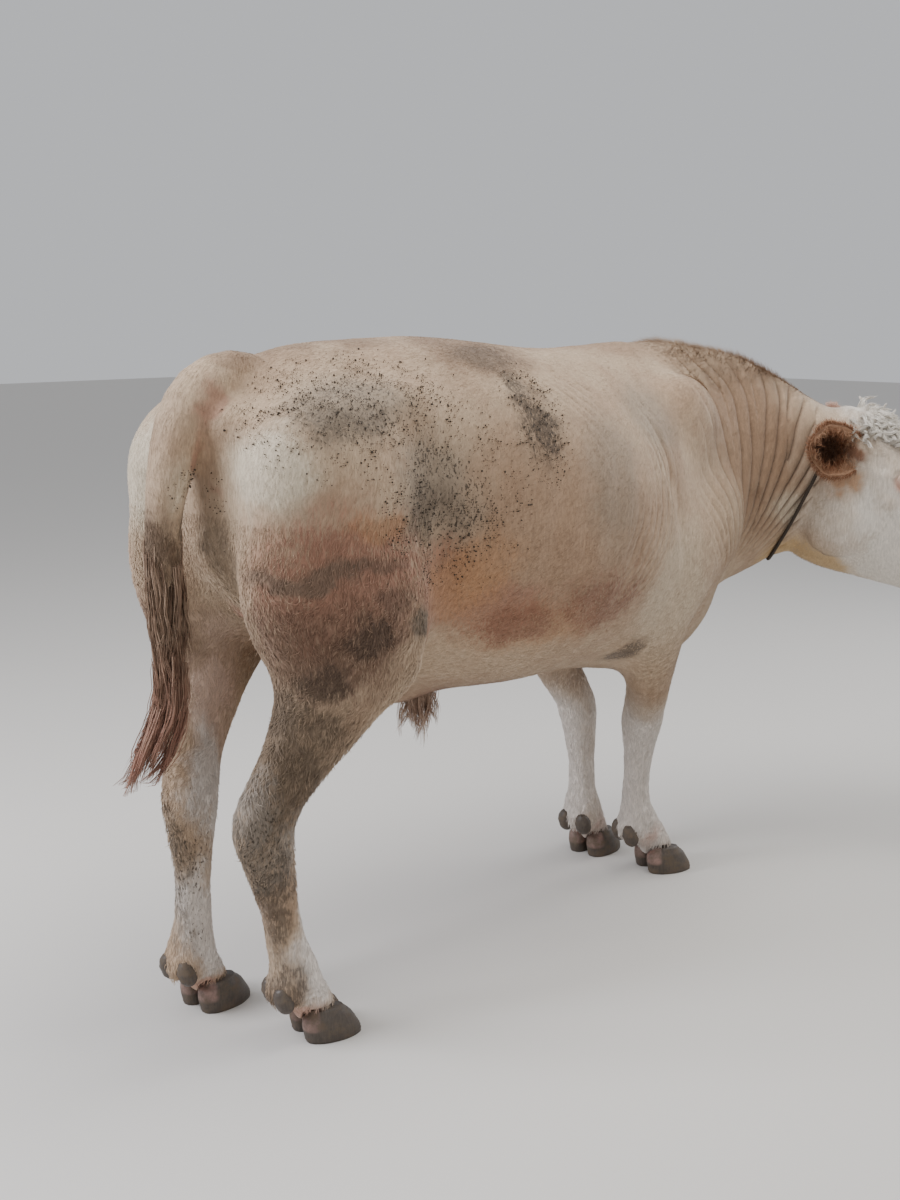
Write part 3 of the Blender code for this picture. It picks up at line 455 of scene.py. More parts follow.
def coatInset(body):  # the skin lies under the solids' surface by the depth of the coat
    depth = skinSettings["coatDepth"]
    inset = depth["trunk"] + (depth["head"] - depth["trunk"]) * body["head"]
    poll = around(body["local"], (0.045, 0, -0.01), (0.10, 0.115, 0.075)) * body["head"]
    for name, share in (("leg", body["leg"]), ("tail", body["tail"]), ("poll", poll)):
        inset += (depth[name] - inset) * share
    return inset


# foldNeck also returns painted shade for the bottoms of the neck's folds
def foldNeck(body, normals):  # skin folds in a fan on the inside of the neck's turn, and the raised crest
    place = body["place"]
    folds = skinSettings["neckFolds"]
    run = alongPath(place[:, :2], neckPath)[0]
    wobble = lumpNoise(place, 0.24, 3) * 0.75 + lumpNoise(place, 0.09, 4) * 0.20
    spread = folds["reach"] / np.maximum(place[:, 2] - folds["fanHeight"], 0.18)
    roll = np.abs(np.sin(math.pi * ((run - folds["fanRun"]) * spread / folds["spacing"] + wobble)))
    shown = 0.04 + 0.96 * fade(-leftOf(place[:, :2], neckPath, run), -0.02, 0.09)
    onNeck = fade(run, 0.02, 0.16) * (1 - body["head"]) * (place[:, 0] > 0.44)
    shown *= onNeck * fade(place[:, 2], 0.78, 0.94) * (1 - 0.95 * fade(normals[:, 2], 0.66, 0.92))
    shown *= (0.75 + 0.35 * lumpNoise(place, 0.16, 5)) * (0.45 + 0.55 * fade(run, 0.10, 0.32))
    crest = skinSettings["crest"] * onNeck * fade(run, 0.28, 0.45) * fade(normals[:, 2], 0.20, 0.80)
    # the second value is painted shade at the bottoms of the folds
    return folds["depth"] * (np.sqrt(roll) - 0.72) * shown + crest, 0.85 * hill(roll, 0.30) * shown


# foldRibs also returns painted shade for the creases between the arcs
def foldRibs(place):  # fine arcs of skin behind the shoulder
    ribs = skinSettings["ribFolds"]
    arc = place[:, 0] + ribs["bow"] * (place[:, 2] - ribs["bowHeight"]) ** 2
    phase = arc / ribs["spacing"] + lumpNoise(place, 0.20, 6) * 1.1 + 0.25 * lumpNoise(place, 0.05, 15)
    band = fade(arc, -0.02, 0.14) * (1 - fade(arc, 0.30, 0.44)) * fade(place[:, 2], 0.74, 0.90)
    band *= (1 - fade(place[:, 2], 1.24, 1.34)) * (place[:, 0] < 0.42)
    band *= np.where(place[:, 1] < 0, 1.0, ribs["farSide"])
    band *= np.clip(0.35 + 0.9 * lumpNoise(place, 0.16, 7), 0, 1)
    crease = (0.5 + 0.5 * np.cos(wholeTurn * phase)) ** 4
    # the second value is painted shade in the creases
    return ribs["depth"] * (0.25 - crease) * band, 0.36 * crease * band


def shapeTrunk(body):  # rib hollows, grooves, slack skin of the brisket, wrinkles of the scrotum
    place = body["place"]
    x, _, z = place.T
    hollows = skinSettings["ribHollows"]
    onRibs = fade(x, -0.30, -0.12) * (1 - fade(x, 0.10, 0.25))
    onRibs *= fade(z, 0.72, 0.86) * (1 - fade(z, 1.10, 1.24))
    move = hollows["depth"] * np.cos(wholeTurn * (x + 0.25 * (1 - z)) / hollows["spacing"]) * onRibs
    move += carve(place, bodyGrooves)
    slack = around(place, (0.66, 0, 0.70), (0.20, 0.16, 0.22)) * (1 - body["leg"])
    move += 0.0020 * slack * np.sin(wholeTurn * (x * 0.8 + z * 0.5) / 0.06 + 4 * lumpNoise(place, 0.12, 8))
    bag = around(place, scrotumPlace, (0.10, 0.10, 0.14))
    return move + 0.0018 * bag * np.sin(wholeTurn * z / 0.011 + 3 * lumpNoise(place, 0.05, 9))


def shapeLegs(place):  # tendon grooves, fetlocks, creases of the pastern, swellings round the dewclaws
    z = place[:, 2]
    move = np.zeros(len(place))
    for path in legPaths:
        onLeg = 1 - fade(alongPath(place, path)[1], 0.075, 0.09)
        ahead = place[:, 0] - np.interp(z, [p[2] for p in path][::-1], [p[0] for p in path][::-1])
        shaft = fade(z, 0.155, 0.20) * (1 - fade(z, 0.33, 0.38))
        move -= 0.0042 * hill(ahead + 0.011, 0.007) * shaft * onLeg
        move += 0.0030 * hill(z - 0.155, 0.020) * onLeg * fade(-ahead, 0.0, 0.02)
        move += 0.0016 * np.cos(wholeTurn * z / 0.013) * hill(z - 0.105, 0.020) * onLeg
    for node in nodes:
        if node.startswith("dewclaw"):
            centre = np.array(middleOfBox(node)) - offset
            away = np.linalg.norm(place - centre, axis=1)
            move += 0.017 * hill(away - 0.020, 0.019) * fade(z, centre[2] - 0.045, centre[2] - 0.010)
    return move


# shapeFace's dark values are painted shade along the mouth line and in the nostrils
def shapeFace(body):  # cheek, lips, mouth, nostrils and nose wrinkles; also how far the nostrils go in
    local, onHead = body["local"], body["head"]
    x, y, z = local.T
    move = carve(local, faceGrooves)
    for side in sides.values():
        for height, middle, radii in faceHollows:
            move += height * around(local * (1, side, 1), middle, radii)
    move *= onHead
    mouthLine = z + 0.152 + 0.105 * (0.56 - x)
    onLips = fade(x, 0.400, 0.42) * onHead
    move -= skinSettings["mouthDepth"] * hill(mouthLine, 0.0030) * onLips
    move += 0.0034 * hill(np.abs(mouthLine) - 0.010, 0.007) * onLips
    # painted shade along the mouth line
    dark = 0.95 * hill(mouthLine, 0.0034) * onLips
    nostril = np.zeros(local.shape)
    front = fade(x, 0.505, 0.53) * onHead
    for side in sides.values():
        a, b = y * side - 0.050, z + 0.084
        hole = np.hypot(a / 0.0185, (b - 9.0 * a * a - 0.10 * a) / 0.0095)
        deep = (1 - fade(hole, 0.35, 1.05)) * front
        nostril += deep[:, None] * np.array((-0.019, -0.006 * side, 0.0)) @ headAxes.T
        move += 0.0045 * hill(hole - 1.45, 0.40) * front
        # painted shade in the nostrils
        dark += 1.2 * (1 - fade(hole, 0.45, 0.95)) * front
    move -= 0.0035 * hill(y, 0.0030) * fade(x, 0.53, 0.55) * (z < -0.095) * (mouthLine > 0.004) * onHead
    corner = np.hypot(x - 0.400, z + 0.168)
    puckered = hill(corner - 0.020, 0.016) * onHead * (np.abs(y) > 0.03) * fade(0.405 - x, 0.0, 0.02)
    move += 0.0011 * np.cos(wholeTurn * corner / 0.0125) * puckered
    bridge = around(local, (0.46, 0, -0.02), (0.06, 0.07, 0.035)) * onHead
    wrinkle = wholeTurn * (x + 0.25 * np.abs(y)) / 0.013 + 2 * lumpNoise(body["place"], 0.03, 14)
    return move + 0.0005 * bridge * np.cos(wrinkle), dark, nostril


def shapeSkin(mesh):
    points, normals = readMesh(mesh)
    body = measureBody(points)
    place = body["place"]
    neckMove, neckShade = foldNeck(body, normals)
    ribMove, ribShade = foldRibs(place)
    faceMove, faceShade, nostril = shapeFace(body)
    move = neckMove - coatInset(body) + ribMove + shapeTrunk(body) + shapeLegs(place) + faceMove
    uneven = 0.0016 * lumpNoise(place, 0.11, 1) + 0.0006 * lumpNoise(place, 0.032, 2)
    move += uneven * (1 - 0.5 * body["head"])
    points = points + normals * move[:, None] + nostril
    lidEdge = np.ones(len(points))
    for name in sides:
        points, edge = openEye(points, eyes[name])
        lidEdge = np.minimum(lidEdge, edge)
    writePoints(mesh, points)
    # the second value is painted shade for the folds, the mouth line and the nostrils
    return lidEdge, np.clip(neckShade + ribShade + faceShade, 0, 1)


def buildSkin():
    skin = joinFlesh(skinNodes + ["eye_right", "eye_left"])
    mesh = skin.data
    points = readMesh(mesh)[0]
    body = measureBody(points)
    weight = 1 - 0.72 * body["leg"] - 0.86 * body["head"]
    weight = np.where(body["tailAway"] < 0.085, 0.20, weight)
    weight = np.maximum(weight, around(body["local"], (0.05, 0, 0.0), (0.13, 0.13, 0.09)) * body["head"])
    for spot in eyeSpots.values():
        weight = np.maximum(weight, 1 - fade(np.linalg.norm(points - spot, axis=1), 0.026, 0.040))
    weight = np.clip(weight, 0.05, 1)
    weight *= 1 - 0.8 * around(points - offset, scrotumPlace, (0.10, 0.10, 0.14))
    points = relax(mesh, points, weight, skinSettings["relaxRounds"])
    writePoints(mesh, points)
    print("skin fused and relaxed:", len(points), "points")
    body = measureBody(points)
    x, y = body["place"].T[:2]
    refine(mesh, (body["head"] > 0.4) | ((body["neck"] > 0.5) & (y < -0.02 - 0.35 * (x - 0.6))))
    points = readMesh(mesh)[0]
    body = measureBody(points)
    fine = (body["local"][:, 0] > 0.42) & (body["head"] > 0.4)
    for spot in eyeSpots.values():
        fine |= np.linalg.norm(points - spot, axis=1) < 0.040
    refine(mesh, fine)
    points = readMesh(mesh)[0]
    points = relax(mesh, points, 0.9 * (measureBody(points)["head"] > 0.2), 3)
    writePoints(mesh, points)
    return skin


def areaAtPoints(mesh):
    area = readArray(mesh.polygons, "area")
    corners = readArray(mesh.polygons, "loop_total", kind=np.int32)
    owners = readArray(mesh.loops, "vertex_index", kind=np.int32)
    return np.bincount(owners, np.repeat(area / corners, corners), len(mesh.vertices))


def thinSkin(skin):
    thin = skin.modifiers.new("thin", "DECIMATE")
    thin.ratio = skinSettings["triangles"] / sum(len(p.vertices) - 2 for p in skin.data.polygons)
    thin.use_collapse_triangulate = True
    plainMesh(skin)
    shadeSmooth(skin.data)


# Colours of the coat, as the stains lie over one another
# The crease colour is painted shade, laid in the skin's folds, along the mouth line and in the nostrils
coatColours = {
    "cream": "#b49d84", "paleCream": "#cabfaa", "tan": "#9b7e65", "creaseShade": "#5f4939",
    "white": "#d6d0c6", "legWhite": "#d0c8c0", "pinkSkin": "#c0917f", "backTan": "#80664f",
    "hipGrey": "#857868", "greyMud": "#665a4c", "darkMud": "#43382e", "speck": "#382f26",
    "thighPink": "#956c59", "thighBrown": "#6f5444", "orangeTan": "#ab7f58", "bellyRed": "#744a3a",
    "neckTan": "#8f735b", "jawTan": "#b69767", "hindBrown": "#83705c", "legGrey": "#a59c92",
    "innerCream": "#cdb4a3", "tailGrey": "#64503f", "noseSkin": "#a86e5d", "earBrown": "#7d5239",
}
# Each marking: colour, strength, raggedness of its edge, and soft ellipsoids in mm, middle and radii
markings = (
    ("tan", 0.8, 0.7, (-120, -320, 980, 560, 180, 360), (-120, 320, 940, 560, 180, 340)),
    ("neckTan", 0.85, 0.7, (760, -160, 1120, 320, 260, 360), (740, 140, 1080, 240, 180, 280)),
    ("backTan", 0.85, 0.8, (-520, -30, 1410, 340, 200, 85), (-140, -80, 1400, 300, 200, 80)),
    ("neckTan", 0.6, 0.7, (420, 0, 1380, 340, 200, 100), (360, -270, 1160, 100, 100, 220)),
    ("hipGrey", 0.72, 0.9, (-600, -240, 1290, 240, 180, 120), (-430, -280, 1110, 190, 110, 190)),
    ("paleCream", 0.78, 0.7, (-780, -210, 1170, 150, 170, 140), (-790, 160, 1150, 160, 180, 200)),
    ("paleCream", 0.55, 0.9, (-840, -100, 1140, 100, 110, 170), (875, -250, 955, 70, 80, 90)),
    ("paleCream", 0.35, 0.7, (340, -280, 800, 220, 160, 260), (400, 240, 800, 180, 140, 260)),
    ("hipGrey", 0.55, 0.9, (60, -310, 1080, 160, 160, 260), (300, -240, 1220, 200, 160, 160)),
    ("thighPink", 0.9, 1.5, (-640, -260, 960, 320, 190, 220), (-630, 270, 930, 280, 180, 210)),
    ("thighPink", 0.7, 1.1, (-400, -270, 910, 170, 120, 150), (-260, -280, 850, 240, 120, 100)),
    ("orangeTan", 0.48, 0.8, (-580, -300, 1060, 140, 90, 55), (-340, -270, 910, 150, 120, 130)),
    ("thighBrown", 0.82, 1.5, (-680, -240, 840, 320, 200, 180), (-680, 240, 800, 280, 180, 190)),
    ("greyMud", 0.66, 1.4, (-710, -250, 984, 240, 160, 36), (-830, 100, 990, 100, 120, 90)),
    ("darkMud", 0.4, 1.8, (-600, -290, 986, 110, 80, 30), (-545, -300, 915, 70, 70, 55)),
    ("darkMud", 0.65, 2.0, (-620, -290, 860, 90, 80, 60), (-700, -270, 790, 100, 80, 65)),
    ("greyMud", 0.9, 1.5, (-484, -300, 856, 70, 60, 65), (-800, -60, 1060, 50, 60, 70)),
    ("darkMud", 0.8, 2.2, (-140, -280, 1235, 80, 120, 140), (-155, -220, 1310, 50, 90, 70)),
    ("darkMud", 0.45, 2.6, (-620, -250, 1255, 160, 100, 55), (-440, -290, 1080, 120, 80, 100)),
    ("backTan", 0.9, 1.2, (-200, -160, 1360, 260, 160, 90), (-100, 200, 1320, 200, 140, 100)),
    ("darkMud", 0.55, 1.7, (-170, -170, 1365, 150, 120, 60), (-800, -50, 1020, 70, 90, 100)),
    ("cream", 0.6, 1.0, (-500, -290, 805, 130, 90, 40), (-360, -250, 765, 190, 100, 45)),
    ("orangeTan", 0.42, 1.0, (-120, -260, 800, 340, 140, 100), (-280, -280, 950, 140, 120, 120)),
    ("bellyRed", 0.62, 2.2, (-180, -270, 805, 200, 120, 80), (50, -300, 835, 220, 120, 120)),
    ("bellyRed", 0.6, 0.9, (-80, 220, 700, 300, 160, 100), (-80, 0, 600, 360, 240, 70)),
    ("legWhite", 0.95, 0.4, (520, -80, 220, 280, 180, 500), (500, 140, 220, 280, 180, 500)),
    ("hindBrown", 0.92, 0.9, (-750, -180, 600, 260, 170, 300), (-770, 190, 500, 160, 90, 300)),
    ("darkMud", 0.5, 2.8, (-700, -190, 700, 160, 120, 110), (-730, -190, 580, 100, 120, 160)),
    ("legGrey", 0.72, 2.0, (-815, -170, 530, 60, 120, 150), (-740, -170, 440, 90, 100, 120)),
    ("innerCream", 0.92, 0.6, (-700, 85, 700, 160, 80, 240), (-600, -50, 620, 100, 50, 200)),
    ("legWhite", 0.9, 0.9, (-720, 85, 500, 85, 70, 220), (-745, 105, 220, 85, 85, 200)),
    ("darkMud", 0.72, 2.0, (-745, -160, 320, 60, 100, 260), (-815, 110, 430, 55, 80, 150)),
    ("greyMud", 0.62, 2.6, (-785, 110, 300, 45, 90, 220), (-790, -170, 460, 100, 120, 180)),
    ("legWhite", 0.96, 0.7, (-625, -140, 180, 120, 130, 190), (-660, -150, 310, 50, 100, 110)),
    ("legWhite", 0.9, 0.9, (-700, 130, 130, 100, 120, 90)),
    ("darkMud", 0.75, 2.0, (266, -205, 655, 65, 80, 75), (-710, -130, 130, 60, 90, 80)),
    ("tailGrey", 0.92, 1.0, (-885, -10, 1010, 90, 90, 170), (-870, 20, 900, 90, 70, 120)),
    ("thighPink", 0.65, 0.6, (-775, -55, 1280, 60, 35, 90), (-790, -55, 1160, 30, 30, 120)),
    ("backTan", 0.6, 1.0, (-860, 30, 1160, 50, 35, 160), (-720, -20, 1375, 100, 80, 50)),
    ("pinkSkin", 0.85, 0.5, (-520, 0, 620, 100, 100, 170), (-660, 0, 800, 140, 60, 140)),
    ("pinkSkin", 0.6, 0.7, (-645, -118, 72, 80, 70, 30), (-735, 133, 72, 80, 70, 30)),
    ("pinkSkin", 0.45, 0.7, (545, -78, 100, 80, 70, 60), (515, 104, 100, 80, 70, 60)),
)
# On the head, in its own frame: down the face, left, out of the forehead
headMarkings = (
    ("white", 0.95, 0.3, (260, 0, -120, 500, 260, 400), (50, 0, 0, 200, 200, 120)),
    ("jawTan", 0.8, 0.8, (240, 0, -360, 240, 160, 100), (130, 0, -410, 130, 160, 100)),
    ("orangeTan", 0.75, 0.7, (80, -130, -170, 75, 70, 85), (80, 130, -170, 75, 70, 85)),
    ("earBrown", 0.9, 0.7, (40, -125, -100, 48, 50, 60)),
    ("pinkSkin", 0.75, 0.5, (190, -110, -60, 42, 42, 34), (190, 110, -60, 42, 42, 34)),
    ("noseSkin", 0.95, 0.25, (585, 0, -92, 90, 150, 105), (550, 0, -160, 100, 120, 35)),
)
speckFields = (
    (-580, -230, 1280, 280, 190, 160), (-400, -280, 1100, 230, 130, 210),
    (-140, -280, 1230, 90, 140, 160), (-820, -60, 1120, 60, 50, 60),
    (-520, 260, 1180, 180, 120, 140), (-620, -150, 200, 60, 100, 140),
    (-780, -170, 440, 100, 120, 240), (-770, 100, 340, 80, 90, 280),
)
# Size in mm, detail, roughness, and how the pattern is drawn out along the hair
coatGrain = {
    "warp": (120, 3.0, 0.6, None),
    "clouds": (160, 4.0, 0.55, None),
    "small": (20, 4.0, 0.6, None),
    "large": (75, 3.0, 0.6, None),
    "hairs": (4.5, 2.5, 0.6, (1.0, 1.0, 0.20)),
    "drops": (6.0, 2.0, 0.6, (1.25, 1.25, 0.70)),
}


def softPatchGroup():
    group = bpy.data.node_groups.new("softPatch", "ShaderNodeTree")
    for name in ("Place", "Middle", "Radii"):
        group.interface.new_socket(name, in_out="INPUT", socket_type="NodeSocketVector")
    group.interface.new_socket("Mask", in_out="OUTPUT", socket_type="NodeSocketFloat")
    outside = addNode(group, "NodeGroupInput", {}).outputs
    away = addNode(group, "VectorMath", {0: outside["Place"], 1: outside["Middle"]}, operation="SUBTRACT")
    scaled = addNode(group, "VectorMath", {0: away, 1: outside["Radii"]}, operation="DIVIDE")
    length = addNode(group, "VectorMath", {0: scaled}, operation="LENGTH")
    ends = {0: length, 1: 0.10, 2: 1.15, 3: 1.0, 4: 0.0}
    mask = addNode(group, "MapRange", ends, interpolation_type="SMOOTHSTEP")
    addNode(group, "NodeGroupOutput", {"Mask": mask})
    return group


def patchMask(tree, place, patches):  # 1 inside any of some soft ellipsoids, 0 outside them all
    group = bpy.data.node_groups.get("softPatch") or softPatchGroup()
    total = None
    for patch in patches:
        middle, radii = ([v / 1000 for v in part] for part in (patch[:3], patch[3:]))
        one = addNode(tree, "Group", {"Place": place, "Middle": middle, "Radii": radii}, node_tree=group)
        total = addNode(tree, "Math", {0: total, 1: one}, operation="MAXIMUM") if total else one
    return total


def layMarking(tree, colour, marking, place, clumps, hairs):  # clumps eat at its edge and hairs comb it
    tone, strength, rough, *patches = marking
    mask = patchMask(tree, place, patches)
    worn = min(rough * 0.50, 1)
    eaten = addNode(tree, "Math", {0: clumps, 1: rough * 1.3, 2: mask}, operation="MULTIPLY_ADD")
    kept = addNode(tree, "Math", {0: eaten, 1: mask}, operation="MULTIPLY")
    comb = addNode(tree, "MapRange", {0: hairs, 1: 0.36, 2: 0.64, 3: 1 - 0.75 * worn, 4: 1 + 0.5 * worn})
    combed = addNode(tree, "Math", {0: kept, 1: comb}, operation="MULTIPLY")
    share = addNode(tree, "MapRange", {0: combed, 1: 0.03, 2: 0.60, 4: strength})
    return addNode(tree, "Mix", {0: share, 6: colour, 7: coatColours[tone]}, data_type="RGBA")


def coatMaterial(name, onTufts):
    # Cattle hair: soft, dull and slightly sheened, over pink skin, with dried mud worked into it
    made, tree, shader = newMaterial(name)
    held = addNode(tree, "TexCoord", {}).outputs["Object"]
    place = addNode(tree, "Mapping", {0: held, 1: -shift})
    grain = {}
    for key, (size, detail, rough, stretch) in coatGrain.items():
        drawn = addNode(tree, "Mapping", {0: place, 3: stretch}) if stretch else place
        inputs = {"Vector": drawn, "Scale": 1000 / size, "Detail": detail, "Roughness": rough}
        grain[key] = addNode(tree, "TexNoise", inputs)
    hairs, large = grain["hairs"], grain["large"]
    warp = grain["warp"].outputs["Color"]
    centred = addNode(tree, "VectorMath", {0: warp, 1: [0.5] * 3}, operation="SUBTRACT")
    pushed = addNode(tree, "VectorMath", {0: centred, 1: [0.12] * 3, 2: place}, operation="MULTIPLY_ADD")
    turn = headTurn.transposed()
    toHead = {1: turn @ -pollPlace, 2: turn.to_euler("XYZ")}
    onFace, plainFace = (addNode(tree, "Mapping", {0: source, **toHead}) for source in (pushed, place))
    clumps = addNode(tree, "Mix", {0: 0.45, 2: grain["small"], 3: large})
    uneven = addNode(tree, "Math", {0: clumps, 1: 0.5}, operation="SUBTRACT")
    ends = {0: grain["clouds"], 1: 0.35, 2: 0.68, 4: 0.58}
    softer = addNode(tree, "MapRange", ends, interpolation_type="SMOOTHSTEP")
    ends = {0: softer, 6: coatColours["cream"], 7: coatColours["tan"]}
    colour = addNode(tree, "Mix", ends, data_type="RGBA")
    for marking in markings:
        colour = layMarking(tree, colour, marking, pushed, uneven, hairs)
    for marking in headMarkings:
        source = plainFace if marking[0] in ("noseSkin", "pinkSkin") else onFace
        colour = layMarking(tree, colour, marking, source, uneven, hairs)

    # flecks of splashed mud, thick in the middle of each field
    field = patchMask(tree, pushed, speckFields)
    thicker = addNode(tree, "Math", {0: large, 1: 0.75, 2: field}, operation="MULTIPLY_ADD")
    needed = addNode(tree, "MapRange", {0: thicker, 1: 0.38, 2: 1.22, 3: 0.78, 4: 0.57})
    over = addNode(tree, "Math", {0: grain["drops"], 1: needed}, operation="SUBTRACT")
    flecks = addNode(tree, "MapRange", {0: over, 1: 0.0, 2: 0.05, 4: 0.82})
    colour = addNode(tree, "Mix", {0: flecks, 6: colour, 7: coatColours["speck"]}, data_type="RGBA")

    # painted shade in the skin's creases, mouth line and nostrils, and each tuft's own tone with painted
    # shade at its root, or fine streaks along the hair
    strand = addNode(tree, "Attribute", {}, attribute_name="strand").outputs["Vector"]
    tone, along, zone = addNode(tree, "SeparateXYZ", {0: strand}).outputs
    colour = addNode(tree, "Mix", {0: zone, 6: colour, 7: coatColours["creaseShade"]}, data_type="RGBA")
    if onTufts:
        lot = addNode(tree, "MapRange", {0: tone, 3: 0.86, 4: 1.12})
        # painted shade: each tuft is darker at its root and lighter at its tip
        rootShade = addNode(tree, "MapRange", {0: along, 3: 0.72, 4: 1.08})
        shade = addNode(tree, "Math", {0: lot, 1: rootShade}, operation="MULTIPLY")
    else:
        shade = addNode(tree, "MapRange", {0: hairs, 1: 0.3, 2: 0.75, 3: 0.80, 4: 1.12})
    setInputs(shader, {
        "Base Color": addNode(tree, "VectorMath", {0: colour, "Scale": shade}, operation="SCALE"),
        "Roughness": 0.72, "Specular IOR Level": 0.28, "Sheen Weight": 0.10, "Sheen Roughness": 0.5,
    })
    if not onTufts:  # the bare nose is wet and pebbled
        nose = patchMask(tree, plainFace, headMarkings[-1][3:4])
        wet = addNode(tree, "MapRange", {0: nose, 1: 0.35, 2: 0.60})
        pebbles = addNode(tree, "TexVoronoi", {"Vector": place, "Scale": 1000 / 4.2}, feature="SMOOTH_F1")
        bump = addNode(tree, "Math", {0: pebbles, 1: wet}, operation="MULTIPLY")
        bump = addNode(tree, "Bump", {"Strength": 0.8, "Distance": 0.0012, "Height": bump}, invert=True)
        for strength, distance, height in ((0.5, 0.0012, hairs), (0.35, 0.004, clumps)):
            inputs = {"Strength": strength, "Distance": distance, "Height": height, "Normal": bump}
            bump = addNode(tree, "Bump", inputs)
        gloss = addNode(tree, "MapRange", {0: wet, 3: 0.66, 4: 0.30})
        setInputs(shader, {"Roughness": gloss, "Normal": bump})
    return made


# Hair is kept as arrays: hairs x rows x 3, widths hairs x rows, and the thin direction of each hair
def layOfCoat(body, normals, rng):  # the way the hair lies at each root
    place, local, hind, leg, head = (body[k] for k in ("place", "local", "hind", "leg", "head"))
    z = place[:, 2]
    top = fade(z, 1.20, 1.36)
    belly = (1 - fade(z, 0.62, 0.80)) * (1 - hind) * (place[:, 0] < 0.36)
    flow = np.tile(np.array((-0.80, 0.0, -0.50)), (len(place), 1))
    for share, lie in (
        (top, (-1.0, 0.0, -0.10)), (hind * (1 - top), (-0.34, 0.0, -1.0)),
        (body["neck"], (-0.62, 0.22, -0.70)), (belly, (-1.0, 0.0, -0.12)),
        (leg, (-0.22, 0.0, -1.0)), (body["tail"], (-0.25, 0.0, -1.0)),
    ):
        flow = flow * (1 - share[:, None]) + np.array(lie) * share[:, None]
    whorl = local - np.array((0.115, 0.0, 0.0))
    whorl[:, 2] *= 0.6
    back = fade(0.16 - local[:, 0], 0.0, 0.06) * fade(np.abs(local[:, 1]), 0.05, 0.10)
    face = unit(whorl) + back[:, None] * np.array((-0.3, 0.0, -0.9))
    nose = fade(local[:, 0], 0.42, 0.50)[:, None]
    face = face * (1 - nose) + np.array((-0.6, 0.0, -0.35)) * nose
    flow = flow * (1 - head[:, None]) + (face @ headAxes.T) * head[:, None]
    rearLow = hind * (1 - fade(z, 0.95, 1.12))
    swirl = 0.16 + 0.55 * rearLow * (1 - leg) + 0.5 * leg * (place[:, 0] < 0) * fade(z, 0.22, 0.36)
    swirl = swirl * (1 - head) + 0.22 * head
    angle = swirl * (lumpNoise(place, 0.045, 11) * 1.1 + lumpNoise(place, 0.018, 12) * 0.6)
    angle += rng.normal(0, 0.13, len(place))
    flow = unit(flow - normals * np.sum(flow * normals, axis=1, keepdims=True))
    return flow * np.cos(angle)[:, None] + np.cross(normals, flow) * np.sin(angle)[:, None]


def strandMesh(name, paths, widths, flats, material, tone, spots, zone, closed, thick):
    count, rows = paths.shape[:2]
    start, end = paths[:, 1:2] - paths[:, :1], paths[:, -1:] - paths[:, -2:-1]
    ahead = unit(np.concatenate((start, paths[:, 2:] - paths[:, :-2], end), axis=1))
    across = unit(np.cross(ahead, np.broadcast_to(flats[:, None, :], ahead.shape)))
    upward = np.cross(across, ahead)
    half = widths[:, :-1, None] / 2
    body, over, side = paths[:, :-1], upward[:, :-1], across[:, :-1]
    threes = np.stack((body - side * half, body + over * half * thick * 2, body + side * half), axis=2)
    points = np.concatenate((threes.reshape(count, (rows - 1) * 3, 3), paths[:, -1:]), axis=1)
    per = (rows - 1) * 3 + 1
    spans = ((0, 1), (1, 2), (2, 0)) if closed else ((0, 1), (1, 2))
    faces = []
    for first in range(0, (rows - 2) * 3, 3):
        for a, b in spans:
            faces += [(first + b, first + a, first + 3 + a), (first + b, first + 3 + a, first + 3 + b)]
    faces += [((rows - 2) * 3 + b, (rows - 2) * 3 + a, per - 1) for a, b in spans]
    triangles = (np.array(faces)[None] + (np.arange(count) * per)[:, None, None]).reshape(-1, 3)
    t = np.append(np.repeat(np.linspace(0, 1, rows)[:-1], 3), 1.0)[None]
    u = np.append(np.tile((-1.0, 0.0, 1.0), rows - 1), 0.0)[None]
    strand = np.stack(np.broadcast_arrays(tone[:, None], t, zone[:, None]), axis=2)
    patch = 0.003  # each tuft's own place on the baked picture
    spot = np.stack((spots[:, 0:1] + u * patch / 2, spots[:, 1:2] + (t - 0.5) * patch), axis=2)
    arrays = (points.reshape(-1, 3), triangles, material, spot.reshape(-1, 2), strand.reshape(-1, 3))
    item = meshFromTriangles(name, *arrays)
    print(name, len(item.data.polygons), "triangles")
    return item


def skinSpots(points, normals):  # an unwrap of the skin's own shape: a chart for each part and direction
    place = points - offset
    body = measureBody(points)
    x, y, z = place.T
    fore, hind = (z < 0.62) & (x > 0), (z < 0.62) & (x <= -0.4)
    legs = (fore & (y < 0.02), fore & (y >= 0.02), hind & (y < 0), hind & (y >= 0))
    part = np.select((*legs[::-1], body["tail"] > 0.5, body["head"] > 0.5), (6, 5, 4, 3, 2, 1), 0)
    axis = np.argmax(np.abs(normals), axis=1)
    positive = normals[np.arange(len(points)), axis] > 0
    spots = np.zeros((len(points), 2))
    scale, edge, gap = 0.103, 0.004, 0.002
    cursor, shelf, top = edge, edge, 0.0
    for number, direction in itertools.product(range(7), range(6)):
        inside = (part == number) & (axis == direction // 2) & (positive == bool(direction % 2))
        if not inside.any():
            continue
        flat = place[inside][:, [a for a in range(3) if a != direction // 2]] * scale
        size = flat.max(axis=0) - flat.min(axis=0) + 0.006
        if cursor + size[0] > 1 - edge:
            cursor, shelf, top = edge, top + gap, top + gap
        spots[inside] = flat - flat.min(axis=0) + np.array((cursor + 0.003, shelf + 0.003))
        cursor += size[0] + gap
        top = max(top, shelf + size[1])
    return spots


